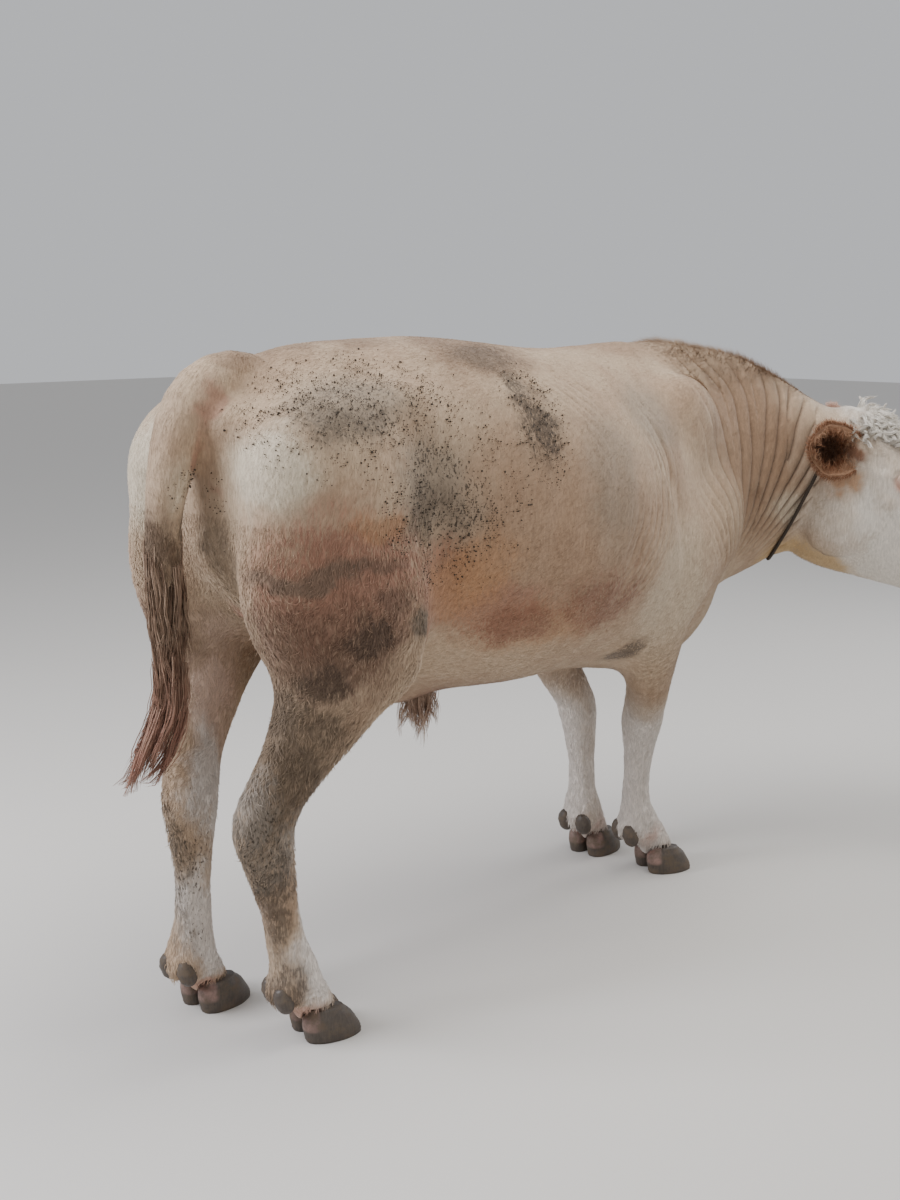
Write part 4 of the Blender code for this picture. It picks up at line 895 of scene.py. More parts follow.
tuftSettings = {
    # tufts to the square metre, and lengths in metres; each other part's value is added to the trunk's
    "density": {"trunk": 78000, "shaggy": -34000, "head": -6000, "leg": -12000},
    "length": {"trunk": 0.0125, "face": 0.0080, "belly": 0.004, "shaggy": 0.004, "crest": 0.015},
    "width": {"trunk": 0.0011, "shaggy": 0.0006, "leg": 0.0002},
    "lift": {"trunk": 0.085, "shaggy": 0.10, "crest": 0.45, "head": 0.03},
    "curl": {"trunk": 0.08, "shaggy": 0.35},
    "root": 0.0006,
}
tuftPieces = ("face", "legs", "thighs", "flanks", "ribs", "forequarters", "rump")


def bareSkin(body, normals, lidEdge, rng):  # nose, lips, lids, soles, and most of the scrotum
    place = body["place"]
    x, _, z = body["local"].T
    onHead = body["head"] > 0.5
    bare = around(body["local"], (0.580, 0, -0.095), (0.085, 0.115, 0.085)) > 0.28
    bare |= (x > 0.53) & onHead & (z > -0.165)
    bare |= (np.abs(z + 0.152 + 0.105 * (0.56 - x)) < 0.004) & (x > 0.41) & onHead
    bare |= (lidEdge < 0.0035) | ((place[:, 2] < 0.070) & (body["leg"] > 0.5))
    bare |= (around(place, (-0.52, 0, 0.61), (0.09, 0.09, 0.12)) > 0.1) & (rng.random(len(place)) < 0.8)
    return bare | (normals[:, 2] * (place[:, 2] < 0.09) < -0.7)


def growTufts(skinPoints, skinNormals, area, lidEdge, crease, material):
    rng = np.random.default_rng(21)
    body = measureBody(skinPoints)
    place, head, leg, hind = (body[k] for k in ("place", "head", "leg", "hind"))
    keys = ("density", "length", "width", "lift", "curl")
    density, size, broad, rise, bend = (tuftSettings[key] for key in keys)
    low = 1 - fade(place[:, 2], 0.95, 1.12)
    shaggy = hind * low * (1 - 0.7 * (place[:, 1] > -0.02) * (skinNormals[:, 1] < 0))
    wanted = density["trunk"] + density["shaggy"] * shaggy + density["head"] * head + density["leg"] * leg
    copies = rng.poisson(wanted * area * ~bareSkin(body, skinNormals, lidEdge, rng))
    keep = np.repeat(np.arange(len(place)), copies)
    normals, crease = skinNormals[keep], crease[keep]
    shake = rng.uniform(-0.75, 0.75, (len(keep), 3)) * np.sqrt(area[keep])[:, None]
    roots = skinPoints[keep] + shake - normals * np.sum(shake * normals, axis=1, keepdims=True)
    body = measureBody(roots)
    place, head, leg, hind = (body[k] for k in ("place", "head", "leg", "hind"))
    faceX, faceY, faceZ = body["local"].T
    x, y, z = place.T
    count = len(roots)
    crest = body["neck"] * fade(z, 1.20, 1.30) * fade(normals[:, 2], 0.35, 0.85)
    hock = fade(z, 0.30, 0.40) * leg * (x < 0)
    inner = fade(-normals[:, 1] * np.sign(y), 0.1, 0.6) * (x < 0)
    shaggy = np.maximum(hind * (1 - fade(z, 0.95, 1.12)) * (1 - leg), hock) * (1 - 0.75 * inner)
    length = size["trunk"] + size["belly"] * (1 - fade(z, 0.60, 0.78)) * (1 - leg)
    length += size["shaggy"] * shaggy + size["crest"] * crest
    length += 0.003 * leg * fade(-normals[:, 0], 0.2, 0.8) + 0.006 * (1 - fade(z, 0.075, 0.10))
    onFace = size["face"] + 0.008 * (1 - fade(faceX, 0.02, 0.16)) + 0.004 * fade(-faceZ, 0.22, 0.34)
    onFace -= 0.0025 * fade(faceX, 0.36, 0.48)
    length = (length * (1 - head) + onFace * head) * rng.uniform(0.7, 1.3, count)
    width = broad["trunk"] + broad["shaggy"] * shaggy + broad["leg"] * leg
    width *= rng.uniform(0.75, 1.3, count)
    lift = rise["trunk"] + rise["shaggy"] * shaggy + rise["crest"] * crest + rise["head"] * head
    lift *= rng.uniform(0.5, 1.6, count)
    flow = layOfCoat(body, normals, rng)
    curl = (bend["trunk"] + bend["shaggy"] * shaggy) * rng.normal(0, 1, count)
    t = np.array((0.0, 0.5, 1.0))
    paths = roots[:, None] + flow[:, None] * (length[:, None] * t)[..., None]
    paths += normals[:, None] * ((length * lift)[:, None] * np.array((-0.08, 0.62, 0.80)))[..., None]
    paths += np.cross(normals, flow)[:, None] * ((length * curl)[:, None] * t * t)[..., None]
    paths[:, 0] -= normals * tuftSettings["root"]
    widths = width[:, None] * np.array((0.9, 1.0, 0.0))
    tone = rng.random(count)
    spots = skinSpots(roots, normals)
    tests = (head > 0.5, leg > 0.5, (x < -0.42) & (z > 1.08), x < -0.42, x < -0.08, x < 0.30)
    region = np.select(tests, (0, 1, 6, 2, 3, 4), 5)
    for number, name in enumerate(tuftPieces):
        leftward = faceY if name == "face" else y
        rows = [0, 1, 2] if name in ("legs", "thighs") else [0, 2]
        for half, test in (("right", leftward < 0), ("left", leftward >= 0)):
            picked = (region == number) & test
            hairs = (paths[picked][:, rows], widths[picked][:, rows], normals[picked], material)
            marks = (tone[picked], spots[picked], crease[picked])
            item = strandMesh("coat_%s_%s" % (name, half), *hairs, *marks, closed=False, thick=0.45)
            finishPiece(item, "coat_white" if name in ("face", "legs") else "coat_cream")


def fillClumps(paths, spread, perClump, rng, loose=0.10):  # strands round each clump's path, some shorter
    count, rows = paths.shape[:2]
    away = unit(rng.normal(size=(count * perClump, 3))).reshape(count, perClump, 1, 3)
    away *= np.sqrt(rng.random((count, perClump, 1, 1)))
    reach = spread[:, None, :, None]
    shake = np.cumsum(rng.normal(0, loose, (count, perClump, rows, 3)), axis=2) * reach
    shake[:, :, 0] = 0
    strands = (paths[:, None] + away * reach + shake).reshape(-1, rows, 3)
    t = np.linspace(0, rows - 1, rows)[None] * rng.uniform(0.72, 1.0, (len(strands), 1))
    low = np.minimum(t.astype(int), rows - 2)
    part = (t - low)[..., None]
    pick = np.arange(len(strands))[:, None]
    return strands[pick, low] * (1 - part) + strands[pick, low + 1] * part


def spiralPaths(start, aim, length, curl, turns, rows, rng):
    t = np.linspace(0, 1, rows)[None]
    side = unit(np.cross(aim, rng.normal(size=aim.shape)))
    angle = wholeTurn * turns[:, None] * t
    radius = curl[:, None] * np.minimum(t * 3, 1)
    steps = (length[:, None] * t, radius * np.cos(angle), radius * np.sin(angle))
    ways = (aim, side, np.cross(aim, side))
    return start[:, None] + sum(way[:, None] * step[..., None] for way, step in zip(ways, steps))


def strandPiece(name, paths, width, material, tone, zone, slot, *stoodFor):
    count, rows = paths.shape[:2]
    rng = np.random.default_rng(count)
    taper = np.sin(math.pi * (0.16 + 0.80 * np.linspace(0, 1, rows))) ** 0.6
    flats = unit(rng.normal(size=(count, 3)))
    across = int(math.ceil(math.sqrt(count)))
    index = np.arange(count)
    spots = (np.stack((index % across, index // across), axis=1) + 0.5) / across * 0.98 + 0.01
    hairs = (paths, width[:, None] * taper, flats, material)
    finishPiece(strandMesh(name, *hairs, tone, spots, zone, closed=True, thick=0.7), slot, *stoodFor)


def lockPiece(name, strands, widths, material, zone, rng, slot, *stoodFor):
    count = len(strands)
    width = rng.uniform(*widths, count)
    tone, zone = rng.random(count), zone + np.zeros(count)
    strandPiece(name, strands, width, material, tone, zone, slot, *stoodFor)


# Colours dark to light or rim to hollow, the zone value where each stands, and what varies it
hairSettings = {
    "poll_hair": {"colours": ("#b1a99d", "#d3ccc1", "#e9e4db")},
    "tail_switch_hair": {"colours": ("#382e26", "#74624f", "#a5907b"), "tips": "#915044"},
    "sheath_hair": {"colours": ("#4a372e", "#806455", "#b59a86")},
    "eyelash_hair_right": {"colours": ("#8b7765", "#b9a894", "#d8ccbc")},
    "eyelash_hair_left": {"colours": ("#8b7765", "#b9a894", "#d8ccbc")},
    # The ears' darkest colours stand for painted shade in the hollow
    "ear_hair_right": {"colours": ("#b48f72", "#8d5d40", "#523624")},
    "ear_hair_left": {"colours": ("#d9bfae", "#c79f8c", "#7a5646")},
}
longHair = {
    "stops": (0.30, 0.60, 0.90), "grain": 30, "lumps": (0.9, 0.0), "tone": 0.35, "shade": (1.0, 1.0),
    "roughness": 0.55, "specular": 0.35,
}
earHair = {
    "stops": (0.0, 0.35, 0.95), "grain": 9, "lumps": (0.6, -0.30), "tone": 0.0, "shade": (0.75, 1.2),
    "roughness": 0.65, "specular": 0.30,
}


def hairMaterial(name):
    # Long hair is shinier than the short coat and its ends are bleached. Ear hair is pale at the edge,
    # rust over the rim, and painted shade darkens it to nearly black-brown in the hollow of the near ear
    look = {**(earHair if name.startswith("ear_hair") else longHair), **hairSettings[name]}
    made, tree, shader = newMaterial(name)
    strand = addNode(tree, "Attribute", {}, attribute_name="strand").outputs["Vector"]
    tone, _, zone = addNode(tree, "SeparateXYZ", {0: strand}).outputs
    held = addNode(tree, "TexCoord", {}).outputs["Object"]
    inputs = {"Vector": held, "Scale": 1000 / look["grain"], "Detail": 3.0, "Roughness": 0.55}
    lumps = addNode(tree, "TexNoise", inputs)
    gain, base = look["lumps"]
    value = addNode(tree, "Math", {0: lumps, 1: gain, 2: base}, operation="MULTIPLY_ADD")
    value = addNode(tree, "Math", {0: value, 1: zone}, operation="ADD")
    value = addNode(tree, "Math", {0: tone, 1: look["tone"], 2: value}, operation="MULTIPLY_ADD")
    colour = addNode(tree, "ValToRGB", {0: value})
    stops = colour.color_ramp.elements
    for index in (0, 1):
        stops[index].position = look["stops"][index * 2]
        stops[index].color = linearColour(look["colours"][index * 2])
    stops.new(look["stops"][1]).color = linearColour(look["colours"][1])
    if "tips" in look:
        height = addNode(tree, "SeparateXYZ", {0: held}).outputs[2]
        redder = addNode(tree, "MapRange", {0: height, 1: 0.86, 2: 0.66, 4: 0.75})
        share = addNode(tree, "Math", {0: redder, 1: lumps, 2: 0.12}, operation="MULTIPLY_ADD")
        colour = addNode(tree, "Mix", {0: share, 6: colour, 7: look["tips"]}, data_type="RGBA")
    shade = addNode(tree, "MapRange", {0: tone, 3: look["shade"][0], 4: look["shade"][1]})
    setInputs(shader, {
        "Base Color": addNode(tree, "VectorMath", {0: colour, "Scale": shade}, operation="SCALE"),
        "Roughness": look["roughness"], "Specular IOR Level": look["specular"],
    })
    return made


curlSettings = {
    "clumps": 190, "perClump": 14, "rows": 8, "length": (0.040, 0.062), "curl": (0.004, 0.0085),
    "turns": (0.45, 0.95), "spread": 0.0085, "width": (0.0011, 0.0018),
}


def growCurls(skinPoints, skinNormals):
    rng = np.random.default_rng(5)
    body = measureBody(skinPoints)
    x, y, z = body["local"].T
    onPoll = body["head"] * fade(x, -0.06, -0.01) * (1 - fade(x, 0.11, 0.17))
    onPoll = onPoll * (1 - fade(np.abs(y), 0.075, 0.115)) * fade(z, -0.12, -0.07)
    count, rows = curlSettings["clumps"], curlSettings["rows"]
    chosen = rng.choice(len(skinPoints), count, replace=False, p=onPoll / onPoll.sum())
    normal = skinNormals[chosen]
    lie = np.stack((np.full(count, 0.9), y[chosen] * 7, np.full(count, -0.2)), axis=1) @ headAxes.T
    aim = unit(lie + normal * 0.95 + rng.normal(0, 0.28, lie.shape))
    turns = rng.uniform(*curlSettings["turns"], count) * rng.choice((-1, 1), count)
    sizes = [rng.uniform(*curlSettings[key], count) for key in ("length", "curl")]
    paths = spiralPaths(skinPoints[chosen] - normal * 0.003, aim, *sizes, turns, rows, rng)
    spread = curlSettings["spread"] * (1 - 0.72 * np.linspace(0, 1, rows)[None]) * np.ones((count, 1))
    strands = fillClumps(paths, spread, curlSettings["perClump"], rng)
    material = hairMaterial("poll_hair")
    lockPiece("poll_curls", strands, curlSettings["width"], material, 0.12, rng, "coat_white")


switchPath = (
    (-0.864, -0.010, 1.060), (-0.866, -0.010, 0.960), (-0.864, -0.010, 0.880), (-0.858, -0.010, 0.800),
    (-0.862, -0.012, 0.730), (-0.888, -0.016, 0.665), (-0.925, -0.018, 0.600), (-0.960, -0.014, 0.545),
)
switchSettings = {
    "clumps": 150, "perClump": 13, "rows": 9, "length": (0.13, 0.24), "spread": 0.0085,
    "width": (0.0011, 0.0022), "slack": 0.008, "top": 1.12,
    "radii": (0.036, 0.038, 0.035, 0.031, 0.033, 0.040, 0.044, 0.038),
}


def growSwitch():
    rng = np.random.default_rng(8)
    path = np.array(switchPath)
    runs = runsOf(path)
    count, rows = switchSettings["clumps"], switchSettings["rows"]
    t = np.linspace(0, 1, rows)[None]
    first = rng.uniform(0.0, 0.36, count)
    last = first + rng.uniform(*switchSettings["length"], count)
    last = np.minimum(last, runs[-1] + rng.uniform(-0.05, 0.01, count))
    run = first[:, None] + (last - first)[:, None] * t
    centre = np.stack([np.interp(run, runs, path[:, a]) for a in range(3)], axis=2)
    radius = np.interp(run, runs, switchSettings["radii"])
    angle = rng.uniform(0, wholeTurn, count)[:, None] + rng.normal(0, 0.25, count)[:, None] * t
    fill = rng.uniform(0.02, 1.0, count)[:, None] ** 0.5 * (1 - 0.25 * t**2)
    wave = np.sin(wholeTurn * (run / 0.075) + rng.uniform(0, 6, count)[:, None]) * 0.006 * t
    stray = rng.normal(0, 0.013, (count, 1, 3)) * t[..., None] ** 3
    centre += stray - np.array((0.010, 0, 0)) * fade(0.72 - centre[..., 2:], 0.0, 0.12)
    centre[..., 0] += np.cos(angle) * radius * fill + wave
    centre[..., 1] += np.sin(angle) * radius * fill + np.roll(wave, 3, axis=0)
    spread = np.full((count, 1), switchSettings["spread"]) * (1 - 0.45 * t)
    strands = fillClumps(centre + offset, spread, switchSettings["perClump"], rng)
    low, high = (np.array(corner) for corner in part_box("tail_switch"))
    high[2] = offset[2] + switchSettings["top"]
    strands = np.clip(strands, low - switchSettings["slack"], high + switchSettings["slack"])
    x, _, z = (strands[:, 5] - offset).T
    zone = 0.04 + 0.12 * fade(0.80 - z, 0, 0.18) + 0.18 * fade(-0.885 - x, -0.01, 0.05)
    material = hairMaterial("tail_switch_hair")
    width = switchSettings["width"]
    lockPiece("switch_locks", strands, width, material, zone, rng, "long_hair", "tail_switch")


sheathSettings = {
    "clumps": 40, "perClump": 15, "rows": 8, "length": (0.055, 0.135), "curl": (0.003, 0.007),
    "turns": (0.5, 1.2), "spread": 0.0080, "width": (0.0007, 0.0013),
    "place": (-0.208, 0.0, 0.632), "patch": (0.034, 0.024, 0.010),
}


def growSheathTuft():
    rng = np.random.default_rng(14)
    count, rows = sheathSettings["clumps"], sheathSettings["rows"]
    middle, patch = (np.array(sheathSettings[key]) for key in ("place", "patch"))
    start = middle + rng.uniform(-1, 1, (count, 3)) * patch
    aim = unit(np.array((-0.10, 0.0, -1.0)) + rng.normal(0, 0.17, (count, 3)))
    sizes = [rng.uniform(*sheathSettings[key], count) for key in ("length", "curl", "turns")]
    paths = spiralPaths(start + offset, aim, *sizes, rows, rng)
    spread = np.full((count, 1), sheathSettings["spread"]) * (1 - 0.35 * np.linspace(0, 1, rows)[None])
    strands = fillClumps(paths, spread, sheathSettings["perClump"], rng, 0.20)
    strands[..., 2] = np.maximum(strands[..., 2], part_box("sheath_tuft")[0][2] - 0.008)
    material = hairMaterial("sheath_hair")
    width = sheathSettings["width"]
    lockPiece("sheath_locks", strands, width, material, 0.22, rng, "long_hair", "sheath_tuft")


earSettings = {
    "length": 0.205, "width": {"right": 0.136, "left": 0.138}, "depth": 0.040, "rows": 44, "columns": 26,
    "outward": {"right": 0.72, "left": 0.79}, "back": {"right": 0.66, "left": 0.48},
    "lift": {"right": 0.12, "left": 0.42}, "seed": {"right": 31, "left": 32},
    "hairs": {"outer": 1900, "inner": 2100, "rim": 1200}, "hairWidth": 0.0009,
}


def earAxes(name):  # the root, the way to the tip, half the width, and the way that the shell opens
    side = sides[name]
    ahead = turnBy(headAngles[0])
    forward, outward = ahead @ Vector((1, 0, 0)), ahead @ Vector((0, side, 0))
    swing = {key: earSettings[key][name] for key in ("outward", "back", "lift")}
    axis = outward * swing["outward"] - forward * swing["back"] + Vector((0, 0, swing["lift"]))
    axis.normalize()
    opening = forward * 0.61 + outward * 0.39 + Vector((0, 0, 0.04))
    opening = (opening - axis * opening.dot(axis)).normalized()
    root = headPoint(0.055, side * 0.108, -0.085) - axis * 0.01
    across = axis.cross(opening) * earSettings["width"][name] / 2
    return tuple(np.array(v) for v in (root, axis, across, opening))


def earPoint(axes, t, v, depthIn):  # t from root to tip, v from edge to edge, depthIn into the shell
    root, axis, across, opening = axes
    half = np.sin(math.pi * (0.13 + 0.60 * t)) ** 0.70 * np.sqrt(np.maximum(0.03, 1 - t**4))
    half = half * (1 + 0.018 * np.sin(17 * t + 3 * v))
    depth = earSettings["depth"] * np.sin(math.pi * (0.22 + 0.76 * t))
    back = depth * (1 - v * v) - 0.012 * t * t - depthIn
    place = root + axis * (earSettings["length"] * t)[..., None]
    return place + across * (half * v)[..., None] - opening * back[..., None]


# the hollow's zone value is painted shade in the ear's hollow
def hollowShade(t, v, edge):  # the zone value of the ear's dark hollow
    return 1.25 * (1 - fade(np.hypot(v * 0.9, (t - 0.55) * 1.7), edge, 0.95))


def buildEar(name):
    axes = earAxes(name)
    rows, columns = earSettings["rows"], earSettings["columns"]
    t = np.sin(math.pi / 2 * np.linspace(0, 1, rows))[:, None] * np.ones(columns)
    v = np.linspace(-1, 1, columns)[None] * np.ones((rows, 1))
    thick = 0.0085 * (1 - 0.45 * t) * (1 - 0.75 * np.abs(v) ** 4)
    thick += 0.0018 * np.cos(v * math.pi * 3.5) * (1 - t) * (1 - np.abs(v) ** 3)
    points = np.concatenate([earPoint(axes, t, v, depth).reshape(-1, 3) for depth in (0, thick)])
    # the inner sheet darkens towards the hollow as painted shade
    zone = np.append(0.10 + 0.25 * v * v + 0.2 * t, hollowShade(t, v, 0.15))
    grid = np.arange(rows * columns).reshape(rows, columns)
    sheet = gridTriangles(grid[:, :-1], grid[:, 1:])
    border = np.concatenate((grid[0, :], grid[1:, -1], grid[-1, -2::-1], grid[-2:0:-1, 0]))
    after = np.roll(border, -1)
    inner, innerAfter = border + grid.size, after + grid.size
    edge = (np.stack((border, inner, innerAfter), 1), np.stack((border, innerAfter, after), 1))
    triangles = np.concatenate((sheet, sheet[:, ::-1] + grid.size, *edge))
    strand = np.stack((0.5 + 0 * zone, 0.6 + 0 * zone, zone), axis=1)
    material = hairMaterial("ear_hair_" + name)
    shell = meshFromTriangles("ear_shell_" + name, points, triangles, material, strand=strand)
    turnOutwards(shell)
    finishPiece(shell, "ear_hair", "ear_" + name)
    growFringe(name, axes, material)


def growFringe(name, axes, material):
    rng = np.random.default_rng(earSettings["seed"][name])
    axis, across, opening = (unit(way) for way in axes[1:])
    outer, inner, rim = earSettings["hairs"].values()
    outerT, outerV = rng.uniform(0.02, 0.97, outer), rng.uniform(-0.97, 0.97, outer)
    innerT, innerV = rng.uniform(0.05, 0.96, inner), rng.uniform(-0.92, 0.92, inner)
    rimT, edge = rng.uniform(0.03, 1.0, rim), rng.choice((-1.0, 1.0), rim)
    rimV = edge * np.where(rimT > 0.9, rng.uniform(0, 1, rim), 1)
    rimZone = 0.30 + rng.uniform(-0.35, 0.3, rim)
    along = axis + across * (outerV * 0.35)[:, None]
    inward = axis * 0.7 - across * (innerV * 0.6)[:, None]
    beyond = axis * (0.55 + 0.5 * rimT)[:, None] + across * (rimV * 0.9)[:, None]
    sets = (  # places on the ear, depth, direction, length, the way up, lift, zone
        (outerT, outerV, 0, along, 0.013, -opening, 0.06, 0.15 + 0.25 * np.abs(outerV)),
        # the inner hairs darken towards the hollow as painted shade
        (innerT, innerV, 0.0078, inward, 0.034, opening, 0.75, hollowShade(innerT, innerV, 0.30)),
        (rimT, rimV, 0.002, beyond, 0.017, opening, 0.12, rimZone),
    )
    grow = np.linspace(0, 1, 4)[:, None]
    grown = []
    for t, v, depth, aim, length, up, lift, zone in sets:
        count = len(t)
        aim = unit(aim + rng.normal(0, 0.30, (count, 3)) + up * lift)
        steps = (length * rng.uniform(0.6, 1.25, count))[:, None, None] * grow
        bend = unit(rng.normal(size=(count, 3))) * 0.24 - up * 0.16
        paths = earPoint(axes, t, v, depth)[:, None] + aim[:, None] * steps + bend[:, None] * steps * grow
        width = earSettings["hairWidth"] * rng.uniform(0.7, 1.3, count)
        grown.append((paths, width, rng.random(count), zone))
    paths, width, tone, zone = (np.concatenate(part) for part in zip(*grown))
    strandPiece("ear_fringe_" + name, paths, width, material, tone, zone, "ear_hair")


eyeSettings = {
    "slack": 0.0004, "bulge": 0.0015, "rows": 38, "around": 56, "lashes": 64, "lashRows": 6,
    "upperLash": 0.013, "lowerLash": 0.006, "lashWidth": 0.00045, "lashZone": 0.3,
}


def buildEye(name):
    spot, *ways = eyes[name]
    axes = np.stack(ways)  # forward, upward, outward
    radius, bulge = skinSettings["eyeOpening"]["ball"] - eyeSettings["slack"], eyeSettings["bulge"]
    rows, turns = eyeSettings["rows"], eyeSettings["around"]
    polar, spin = rings(np.linspace(0, math.pi, rows + 2)[1:-1], turns)
    shape = np.stack((np.sin(polar) * np.cos(spin), np.sin(polar) * np.sin(spin), np.cos(polar)), axis=2)
    shape *= (radius + bulge * np.exp(-((polar / 0.52) ** 4)))[..., None]
    gaze = np.concatenate((shape.reshape(-1, 3), [[0, 0, radius + bulge], [0, 0, -radius]]))
    material = bpy.data.materials.get("moist_brown_eye") or eyeMaterial()
    arrays = (spot + gaze @ axes, tubeTriangles(rows, turns), material)
    ball = meshFromTriangles("eyeball_" + name, *arrays, strand=gaze / radius)
    turnOutwards(ball)
    finishPiece(ball, "eyeball", "eye_" + name)
    growLashes(name, spot, axes, radius)


def growLashes(name, spot, axes, radius):
    rng = np.random.default_rng(41)
    count = eyeSettings["lashes"]
    opening = skinSettings["eyeOpening"]
    along = rng.uniform(-0.9, 0.95, count) * opening["halfLength"]
    top = rng.random(count) < 0.75
    up = np.where(top, 1, -1)
    level = np.where(top, opening["upper"] + 0.0015, -opening["lower"] - 0.001)
    level = level * (1 - (along / opening["halfLength"]) ** 2)
    out = np.sqrt(np.maximum((radius + 0.0022) ** 2 - along**2 - level**2, 0))
    start = spot + np.stack((along, level, out), axis=1) @ axes
    aim = np.stack((along * 12, up * 0.9, np.ones(count)), axis=1) @ axes
    aim = unit(aim + rng.normal(0, 0.08, (count, 3)))
    grow = np.linspace(0, 1, eyeSettings["lashRows"])[:, None]
    long = np.where(top, eyeSettings["upperLash"], eyeSettings["lowerLash"]) * rng.uniform(0.7, 1.1, count)
    steps = long[:, None, None] * grow
    bend = np.outer(up * 0.28, axes[1])[:, None]
    paths = start[:, None] + aim[:, None] * steps + bend * steps * grow
    width, zone = (np.full(count, eyeSettings[key]) for key in ("lashWidth", "lashZone"))
    material = hairMaterial("eyelash_hair_" + name)
    strandPiece("lashes_" + name, paths, width, material, rng.random(count), zone, "coat_white")


def eyeMaterial():
    # A bovine eye: brown iris, pupil drawn out sideways, dark rim, wet clear surface
    made, tree, shader = newMaterial("moist_brown_eye")
    gaze = addNode(tree, "Attribute", {}, attribute_name="strand").outputs["Vector"]
    scaled = [addNode(tree, "Mapping", {0: gaze, 3: size}) for size in ((1.0, 1.0, 0.0), (0.55, 1.35, 0.0))]
    away, slot = (addNode(tree, "VectorMath", {0: place}, operation="LENGTH") for place in scaled)
    fibres = addNode(tree, "TexNoise", {"Vector": gaze, "Scale": 14.0, "Detail": 4.0})
    colour = addNode(tree, "Mix", {0: fibres, 6: "#1e110b", 7: "#4a2c19"}, data_type="RGBA")
    pupil = addNode(tree, "MapRange", {0: slot, 1: 0.19, 2: 0.23, 3: 1.0, 4: 0.0})
    rim = addNode(tree, "MapRange", {0: away, 1: 0.56, 2: 0.66}, interpolation_type="SMOOTHSTEP")
    white = addNode(tree, "MapRange", {0: away, 1: 0.84, 2: 0.95}, interpolation_type="SMOOTHSTEP")
    for share, tone in ((pupil, "#050506"), (rim, "#17100c"), (white, "#b8a596")):
        colour = addNode(tree, "Mix", {0: share, 6: colour, 7: tone}, data_type="RGBA")
    setInputs(shader, {"Base Color": colour, "Roughness": 0.12, "IOR": 1.376})
    setInputs(shader, {"Coat Weight": 1.0, "Coat Roughness": 0.03})
    return made


# Hooves and dewclaws: the way each foot points, and rows of height with length, width and shift back
feet = {"fore_right": -20, "fore_left": 6, "hind_right": -12, "hind_left": 6}
hoofSettings = {
    "halfLength": 0.062, "halfWidth": 0.031, "rows": 30, "around": 64, "ring": 0.0060, "ringDepth": 0.0006,
    "toeOut": 5, "heelPink": 0.55, "lumps": 0.0,
    "profile": (
        (0.0, 1.0, 0.95, 0.0), (0.020, 0.97, 1.0, -0.004), (0.052, 0.83, 0.94, -0.015),
        (0.068, 0.70, 0.84, -0.021),
    ),
}
dewclawSettings = {
    "rows": 22, "around": 36, "tilt": -22, "ring": 0.0065, "ringDepth": 0.018, "lumps": 0.0011,
    "ends": (-0.0275, 0.0285),
    "profile": (
        (-0.027, 0.007, 0.008), (-0.023, 0.014, 0.016), (-0.014, 0.019, 0.021), (0.007, 0.021, 0.022),
        (0.020, 0.016, 0.016), (0.028, 0.009, 0.009),
    ),
}


def hornMaterial():
    # Hoof horn: dark grey-brown keratin with growth rings, scuffed and dusted with dry mud, soft pink heel
    made, tree, shader = newMaterial("hoof_horn")
    held = addNode(tree, "TexCoord", {}).outputs["Object"]
    strand = addNode(tree, "Attribute", {}, attribute_name="strand").outputs["Vector"]
    zone = addNode(tree, "SeparateXYZ", {0: strand}).outputs[2]
    mud = addNode(tree, "TexNoise", {"Vector": held, "Scale": 1000 / 34, "Detail": 8.0, "Roughness": 0.68})
    drawn = addNode(tree, "Mapping", {0: held, 3: (1.0, 1.0, 0.15)})
    fibre = addNode(tree, "TexNoise", {"Vector": drawn, "Scale": 1000 / 3, "Detail": 2.0, "Roughness": 0.5})
    crust = addNode(tree, "MapRange", {0: mud, 1: 0.44, 2: 0.66}, interpolation_type="SMOOTHSTEP")
    dust = addNode(tree, "Math", {0: crust, 1: 0.70}, operation="MULTIPLY")
    ends = {0: zone, 1: 0.15, 2: 0.75, 4: hoofSettings["heelPink"]}
    heel = addNode(tree, "MapRange", ends, interpolation_type="SMOOTHSTEP")
    clean = addNode(tree, "MapRange", {0: mud, 1: 0.40, 2: 0.58, 3: 1.0, 4: 0.15})
    patchy = addNode(tree, "Math", {0: heel, 1: clean}, operation="MULTIPLY")
    colour = addNode(tree, "Mix", {0: fibre, 6: "#2a241f", 7: "#574c43"}, data_type="RGBA")
    for share, tone in ((dust, "#655747"), (patchy, "#a8857a")):
        colour = addNode(tree, "Mix", {0: share, 6: colour, 7: tone}, data_type="RGBA")
    setInputs(shader, {
        "Base Color": colour,
        "Roughness": addNode(tree, "MapRange", {0: crust, 3: 0.46, 4: 0.85}),
        "Normal": addNode(tree, "Bump", {"Strength": 0.7, "Distance": 0.0012, "Height": mud}),
    })
    return made


def fitToBox(points, node):
    low, high = (np.array(corner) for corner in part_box(node))
    first, last = points.min(axis=0), points.max(axis=0)
    return low + (points - first) / (last - first) * (high - low)


def hornPiece(node, flat, ends, turn, zone, settings, material):  # capped, turned, fitted to the solid
    points = np.concatenate((flat.reshape(-1, 3), ends))
    lumps = lumpNoise(points + math.radians(turn[0][1]), 0.012, 19)[:, None]
    points += settings["lumps"] * lumps * unit(points)
    points = fitToBox(points @ np.array(turnBy(*turn)).T, node)
    strand = np.append(zone, (0, 0))[:, None] * np.array((0, 0, 1))
    triangles = tubeTriangles(settings["rows"], settings["around"])
    item = meshFromTriangles(node + "_horn", points, triangles, material, strand=strand)
    finishPiece(item, "hoof_horn", node)


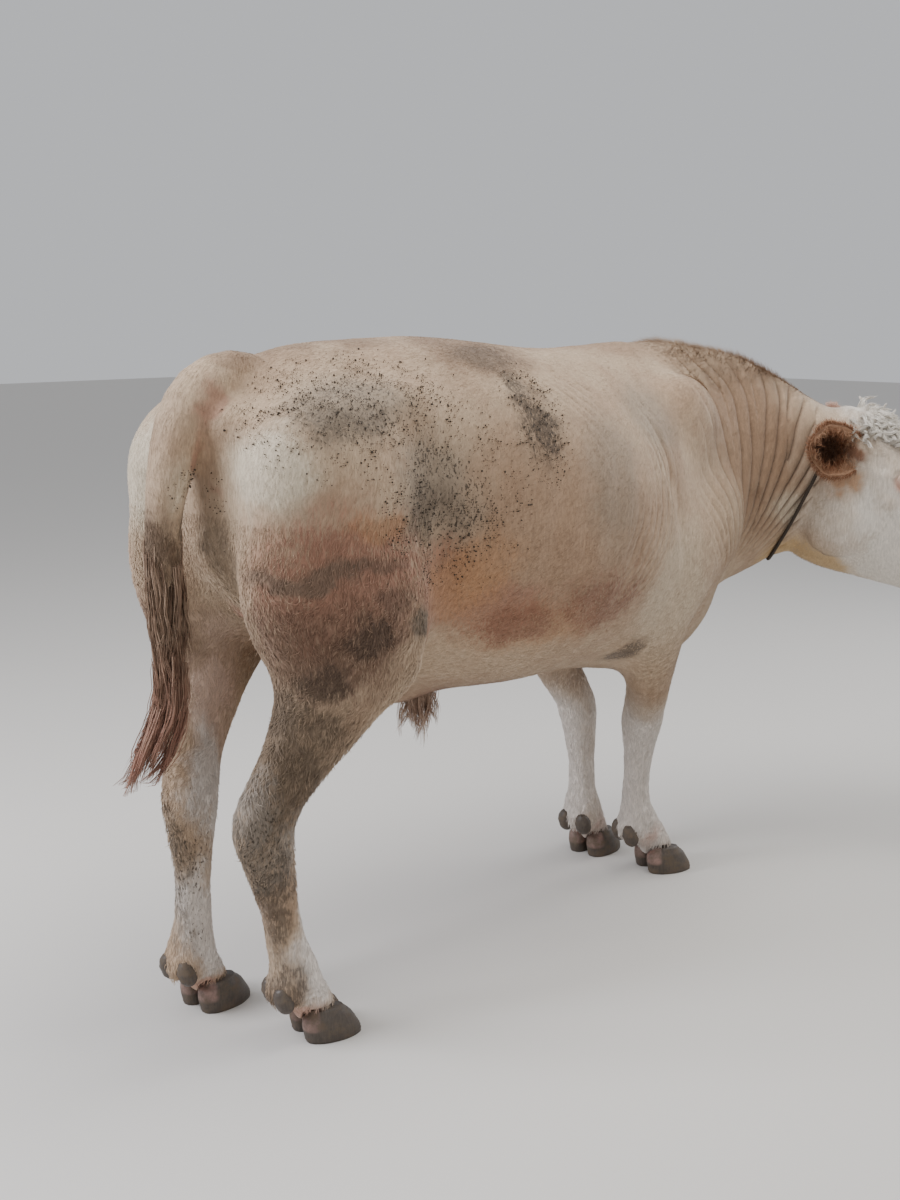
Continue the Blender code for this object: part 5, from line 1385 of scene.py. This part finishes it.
def buildClaw(node, foot, material):
    heading = feet[foot]
    centre = sum((middleOfBox(n) for n in nodes if n.startswith("hoof_" + foot)), Vector()) / 2
    leftward = turnBy(("Z", heading)) @ Vector((0, 1, 0))
    side = 1 if (middleOfSoles([node]) - centre).dot(leftward) > 0 else -1
    table = np.array(hoofSettings["profile"]).T
    height, theta = rings(np.linspace(0, table[0, -1], hoofSettings["rows"]), hoofSettings["around"])
    long, broad, move = (np.interp(height, table[0], column) for column in table[1:])
    ahead, aside = np.cos(theta), np.sin(theta)
    x = long * hoofSettings["halfLength"] * np.sign(ahead) * np.abs(ahead) ** 0.92
    y = broad * hoofSettings["halfWidth"] * np.sign(aside) * np.abs(aside) ** 0.85
    y = y * (1 - 0.26 * np.maximum(ahead, 0) ** 1.6)
    y = np.where(aside * side < 0, y * 0.86, y)
    heel = fade(-ahead, 0.25, 0.8)
    grown = np.sin(wholeTurn * height / hoofSettings["ring"] + 1.3 * np.sin(theta * 2))
    grown = grown * hoofSettings["ringDepth"]
    swell = 1 + (grown * (1 - heel) * (height > 0.004) - 0.0012 * (height < 0.003)) / 0.04
    swell += 0.05 * heel * hill(height - 0.034, 0.016)
    swell *= 1 - (0.10 + 0.24 * heel) * fade(height, 0.044, 0.068) ** 1.6
    spots = np.stack((x, y, height + 3 * side + heading), axis=2).reshape(-1, 3)
    rough = lumpNoise(spots, 0.011, 17).reshape(x.shape) * 0.0005
    groove = 1 - 0.02 * np.clip(1 - np.abs(height - 0.060) / 0.004, 0, 1)
    flat = np.stack(((x * swell + move + rough) * groove, (y * swell + rough) * groove, height), axis=2)
    ends = ((0, 0, 0.0015), (move[-1, 0], 0, 0.066))
    turn = (("Z", heading + side * hoofSettings["toeOut"]),)
    hornPiece(node, flat, ends, turn, heel * fade(height, 0.018, 0.040), hoofSettings, material)


def buildDewclaw(node, foot, material):
    table = np.array(dewclawSettings["profile"]).T
    levels = np.linspace(table[0, 0], table[0, -1], dewclawSettings["rows"])
    level, theta = rings(levels, dewclawSettings["around"])
    long, broad = (np.interp(level, table[0], column) for column in table[1:])
    wave = np.sin(wholeTurn * level / dewclawSettings["ring"] + np.sin(3 * theta))
    wave = 1 + dewclawSettings["ringDepth"] * wave
    flat = np.stack((long * np.cos(theta) * wave, broad * np.sin(theta) * wave, level), axis=2)
    ends = [(0, 0, end) for end in dewclawSettings["ends"]]
    turn = (("Z", feet[foot]), ("Y", dewclawSettings["tilt"]))
    hornPiece(node, flat, ends, turn, 0 * level, dewclawSettings, material)


def buildFeet():
    horn = hornMaterial()
    for node, foot in itertools.product(sorted(nodes), feet):
        if node.startswith("hoof_" + foot):
            buildClaw(node, foot, horn)
        if node.startswith("dewclaw_" + foot):
            buildDewclaw(node, foot, horn)
    print("hooves and dewclaws built")


# The rope collar, laid in three strands along the solid collar's path
ropeSettings = {"radius": 0.0045, "strands": 3, "lay": 0.019, "steps": 760, "places": 72}


def ropePath():
    normal = (headTurn @ Vector(neckCutNormal)).normalized()
    first = headTurn @ Vector((0, 1, 0))
    places = readMesh(nodes["rope_collar"].data)[0]
    rel = places - np.array(headPoint(0.022, 0, -0.20))
    angle = np.arctan2(rel @ np.array(normal.cross(first)), rel @ np.array(first))
    count = ropeSettings["places"]
    which = ((angle + math.pi) / wholeTurn * count).astype(int) % count
    filled = np.unique(which)
    groups = [places[which == k] for k in filled]
    middles = np.array([(group.min(axis=0) + group.max(axis=0)) / 2 for group in groups])
    spots = np.arange(count)
    path = np.stack([np.interp(spots, filled, middles[:, a], period=count) for a in range(3)], axis=1)
    for _ in range(4):
        path = (np.roll(path, 1, axis=0) + path * 2 + np.roll(path, -1, axis=0)) / 4
    return path


def ropeTree(material, turns):
    tree = bpy.data.node_groups.new("twistedRope", "GeometryNodeTree")
    for direction in ("INPUT", "OUTPUT"):
        tree.interface.new_socket("Geometry", in_out=direction, socket_type="NodeSocketGeometry")
    for name, kind, value in (
        ("Strands", "Int", ropeSettings["strands"]), ("Radius", "Float", ropeSettings["radius"]),
        ("Turns", "Float", turns), ("Steps", "Int", ropeSettings["steps"]),
    ):
        socket = tree.interface.new_socket(name, in_out="INPUT", socket_type="NodeSocket" + kind)
        socket.default_value = value
    outside = addNode(tree, "NodeGroupInput", {}).outputs
    curve = addNode(tree, "GeometryNodeMeshToCurve", {0: outside["Geometry"]})
    fine = addNode(tree, "GeometryNodeResampleCurve", {"Curve": curve, "Count": outside["Steps"]})
    inputs = {"Geometry": fine, "Amount": outside["Strands"]}
    copies = addNode(tree, "GeometryNodeDuplicateElements", inputs, domain="SPLINE")
    along = addNode(tree, "GeometryNodeSplineParameter", {})
    share = addNode(tree, "Math", {0: copies.outputs[1], 1: outside["Strands"]}, operation="DIVIDE")
    turned = addNode(tree, "Math", {0: along, 1: outside["Turns"], 2: share}, operation="MULTIPLY_ADD")
    angle = addNode(tree, "Math", {0: turned, 1: wholeTurn}, operation="MULTIPLY")
    normal = addNode(tree, "GeometryNodeInputNormal", {})
    tangent = addNode(tree, "GeometryNodeInputTangent", {})
    across = addNode(tree, "VectorMath", {0: tangent, 1: normal}, operation="CROSS_PRODUCT")
    ways = []
    for way, kind in ((normal, "COSINE"), (across, "SINE")):
        part = addNode(tree, "Math", {0: angle}, operation=kind)
        ways.append(addNode(tree, "VectorMath", {0: way, "Scale": part}, operation="SCALE"))
    both = addNode(tree, "VectorMath", {0: ways[0], 1: ways[1]}, operation="ADD")
    ends = ({0: outside["Radius"], 1: share} for share in (0.52, 0.56))
    out, thick = (addNode(tree, "Math", inputs, operation="MULTIPLY") for inputs in ends)
    push = addNode(tree, "VectorMath", {0: both, "Scale": out}, operation="SCALE")
    moved = addNode(tree, "GeometryNodeSetPosition", {"Geometry": copies, "Offset": push})
    inputs = {"Resolution": 8, "Radius": thick}
    circle = addNode(tree, "GeometryNodeCurvePrimitiveCircle", inputs, mode="RADIUS")
    tube = addNode(tree, "GeometryNodeCurveToMesh", {"Curve": moved, "Profile Curve": circle})
    real = addNode(tree, "GeometryNodeRealizeInstances", {0: tube})
    smooth = addNode(tree, "GeometryNodeSetShadeSmooth", {0: real})
    dressed = addNode(tree, "GeometryNodeSetMaterial", {0: smooth, "Material": material})
    addNode(tree, "NodeGroupOutput", {0: dressed})
    return tree


def ropeMaterial():
    # Laid jute rope gone dark with grease and mud
    made, tree, shader = newMaterial("dark_twisted_rope")
    held = addNode(tree, "TexCoord", {}).outputs["Object"]
    inputs = {"Vector": held, "Detail": 3.0, "Roughness": 0.55}
    fibre, worn = (addNode(tree, "TexNoise", {**inputs, "Scale": 1000 / size}) for size in (1.6, 26))
    colour = addNode(tree, "Mix", {0: fibre, 6: "#1f1a16", 7: "#5a4c3e"}, data_type="RGBA")
    colour = addNode(tree, "Mix", {0: worn, 6: colour, 7: "#2b2620"}, data_type="RGBA")
    bump = addNode(tree, "Bump", {"Strength": 0.6, "Distance": 0.0006, "Height": fibre})
    setInputs(shader, {"Base Color": colour, "Roughness": 0.85, "Normal": bump})
    return made


def buildRope():
    path = ropePath()
    length = float(np.linalg.norm(np.roll(path, -1, axis=0) - path, axis=1).sum())
    turns = float(round(length / ropeSettings["lay"]))
    mesh = bpy.data.meshes.new("collar_rope")
    mesh.from_pydata(path.tolist(), [(i, (i + 1) % len(path)) for i in range(len(path))], [])
    rope = addObject("collar_rope", mesh)
    lay = rope.modifiers.new("lay", "NODES")
    lay.node_group = ropeTree(ropeMaterial(), turns)
    for socket in lay.node_group.interface.items_tree:
        if socket.in_out == "INPUT" and socket.name in ("Turns", "Radius"):
            lay[socket.identifier] = {"Turns": turns, "Radius": ropeSettings["radius"]}[socket.name]
    plainMesh(rope)
    finishPiece(rope, "rope", "rope_collar")
    print("rope:", len(rope.data.polygons), "faces, length", round(length, 3))


crumbSettings = {
    "count": 4600, "size": 0.0007, "larger": 0.0013, "height": 0.0022, "fields": 5, "colour": "#3a3127",
}


def scatterCrumbs(skinPoints, skinNormals):
    rng = np.random.default_rng(77)
    place = skinPoints - offset
    chance = np.zeros(len(place))
    for field in speckFields[:crumbSettings["fields"]]:
        centre, radii = np.array(field[:3]) / 1000, np.array(field[3:]) / 1000
        chance = np.maximum(chance, around(place, centre, radii * 1.1))
    patches = lumpNoise(place, 0.035, 51) + 0.6 * lumpNoise(place, 0.012, 52)
    chance = np.minimum(chance, 0.55) * fade(patches, -0.7, 0.6)
    count = crumbSettings["count"]
    chosen = rng.choice(len(place), count, replace=False, p=chance / chance.sum())
    base = bmesh.new()
    bmesh.ops.create_icosphere(base, subdivisions=1, radius=1.0)
    shape = np.array([v.co[:] for v in base.verts])
    faces = np.array([[v.index for v in f.verts] for f in base.faces])
    base.free()
    size = crumbSettings["size"] + crumbSettings["larger"] * rng.random(count) ** 3
    lump = shape[None] * (size[:, None] * rng.uniform(0.55, 1.3, (count, len(shape))))[..., None]
    lump *= rng.uniform(0.7, 1.4, (count, 1, 3))
    points = lump + (skinPoints[chosen] + skinNormals[chosen] * crumbSettings["height"])[:, None]
    triangles = (faces[None] + (np.arange(count) * len(shape))[:, None, None]).reshape(-1, 3)
    # Splashed dung dried to near-black crumbs
    crumb, _, shader = newMaterial("dry_mud_crumb")
    setInputs(shader, {"Base Color": crumbSettings["colour"], "Roughness": 0.9})
    finishPiece(meshFromTriangles("mud_crumbs", points.reshape(-1, 3), triangles, crumb), "coat_stained")


stageSettings = {
    "reach": 24, "floor": "#cfccc8", "sky": "#e8eaee", "skyStrength": 0.72, "lookAt": (0, 0, 0.9),
    "lamps": (  # name, place, size, power, colour
        ("window", (-3.4, 1.4, 2.9), 2.0, 185, "#f8f9ff"),
        ("overhead", (0.3, -0.6, 3.8), 2.2, 90, "#fffdf8"),
        ("fill", (-1.6, -4.6, 1.9), 3.0, 30, "#fff4e6"),
        ("farFill", (4.2, -1.2, 2.4), 2.6, 70, "#ffffff"),
    ),
}
cameraSettings = {
    "yaw": 44.93, "pitch": 11.75, "lens": 42.0, "sensor": 36.0, "place": (-2.2898, -2.1765, 1.4530),
}


def buildStage():
    reach = stageSettings["reach"]
    corners = [(x * reach, y * reach, 0) for x, y in ((-1, -1), (1, -1), (1, 1), (-1, 1))]
    mesh = bpy.data.meshes.new("floor")
    mesh.from_pydata(corners, [], [(0, 1, 2, 3)])
    plaster, _, shader = newMaterial("pale_floor_plaster")
    setInputs(shader, {"Base Color": stageSettings["floor"], "Roughness": 0.85})
    floor = addObject("floor", mesh, plaster)
    world = bpy.data.worlds.new("studio")
    world.use_nodes = True
    sky = {0: stageSettings["sky"], 1: stageSettings["skyStrength"]}
    setInputs(world.node_tree.nodes["Background"], sky)
    bpy.context.scene.world = world
    for name, place, size, power, colour in stageSettings["lamps"]:
        data = bpy.data.lights.new(name, "AREA")
        data.size = size
        data.energy = power
        data.color = linearColour(colour)[:3]
        lamp = addObject(name, data)
        lamp.location = stagePoint(place)
        toward = stagePoint(stageSettings["lookAt"]) - lamp.location
        lamp.rotation_euler = toward.to_track_quat("-Z", "Y").to_euler()


def buildCamera():
    yaw, pitch = math.radians(cameraSettings["yaw"]), math.radians(cameraSettings["pitch"])
    data = bpy.data.cameras.new("photoCamera")
    data.lens = cameraSettings["lens"]
    data.sensor_width = cameraSettings["sensor"]
    data.sensor_fit = "AUTO"
    camera = addObject("photoCamera", data)
    camera.location = stagePoint(cameraSettings["place"])
    ahead = Vector((math.cos(yaw) * math.cos(pitch), math.sin(yaw) * math.cos(pitch), -math.sin(pitch)))
    right = Vector((math.sin(yaw), -math.cos(yaw), 0))
    camera.rotation_euler = Matrix((right, right.cross(ahead), -ahead)).transposed().to_euler()
    bpy.context.scene.camera = camera


buildCamera()
buildStage()
print("camera, floor and light set")

skin = buildSkin()
firstPoints, firstNormals = readMesh(skin.data)
eyes = {name: eyeFrame(name, firstPoints, firstNormals) for name in sides}
# crease holds painted shade for the folds, the mouth line and the nostrils
lidEdge, crease = shapeSkin(skin.data)
holdStrand(skin.data, crease[:, None] * np.array((0, 0, 1)))
skinPoints, skinNormals = readMesh(skin.data)
area = areaAtPoints(skin.data)
print("skin shaped:", len(skinPoints), "points, area", round(float(area.sum()), 2))
thinSkin(skin)
skin.data.materials.clear()
skin.data.materials.append(coatMaterial("short_cattle_coat_skin", False))
finishPiece(skin, "coat_cream", *skinNodes)
print("skin:", len(skin.data.polygons), "triangles")

growTufts(skinPoints, skinNormals, area, lidEdge, crease, coatMaterial("cattle_coat_hair", True))
growCurls(skinPoints, skinNormals)
growSwitch()
growSheathTuft()
for name in sides:
    buildEar(name)
    buildEye(name)
buildFeet()
buildRope()
scatterCrumbs(skinPoints, skinNormals)
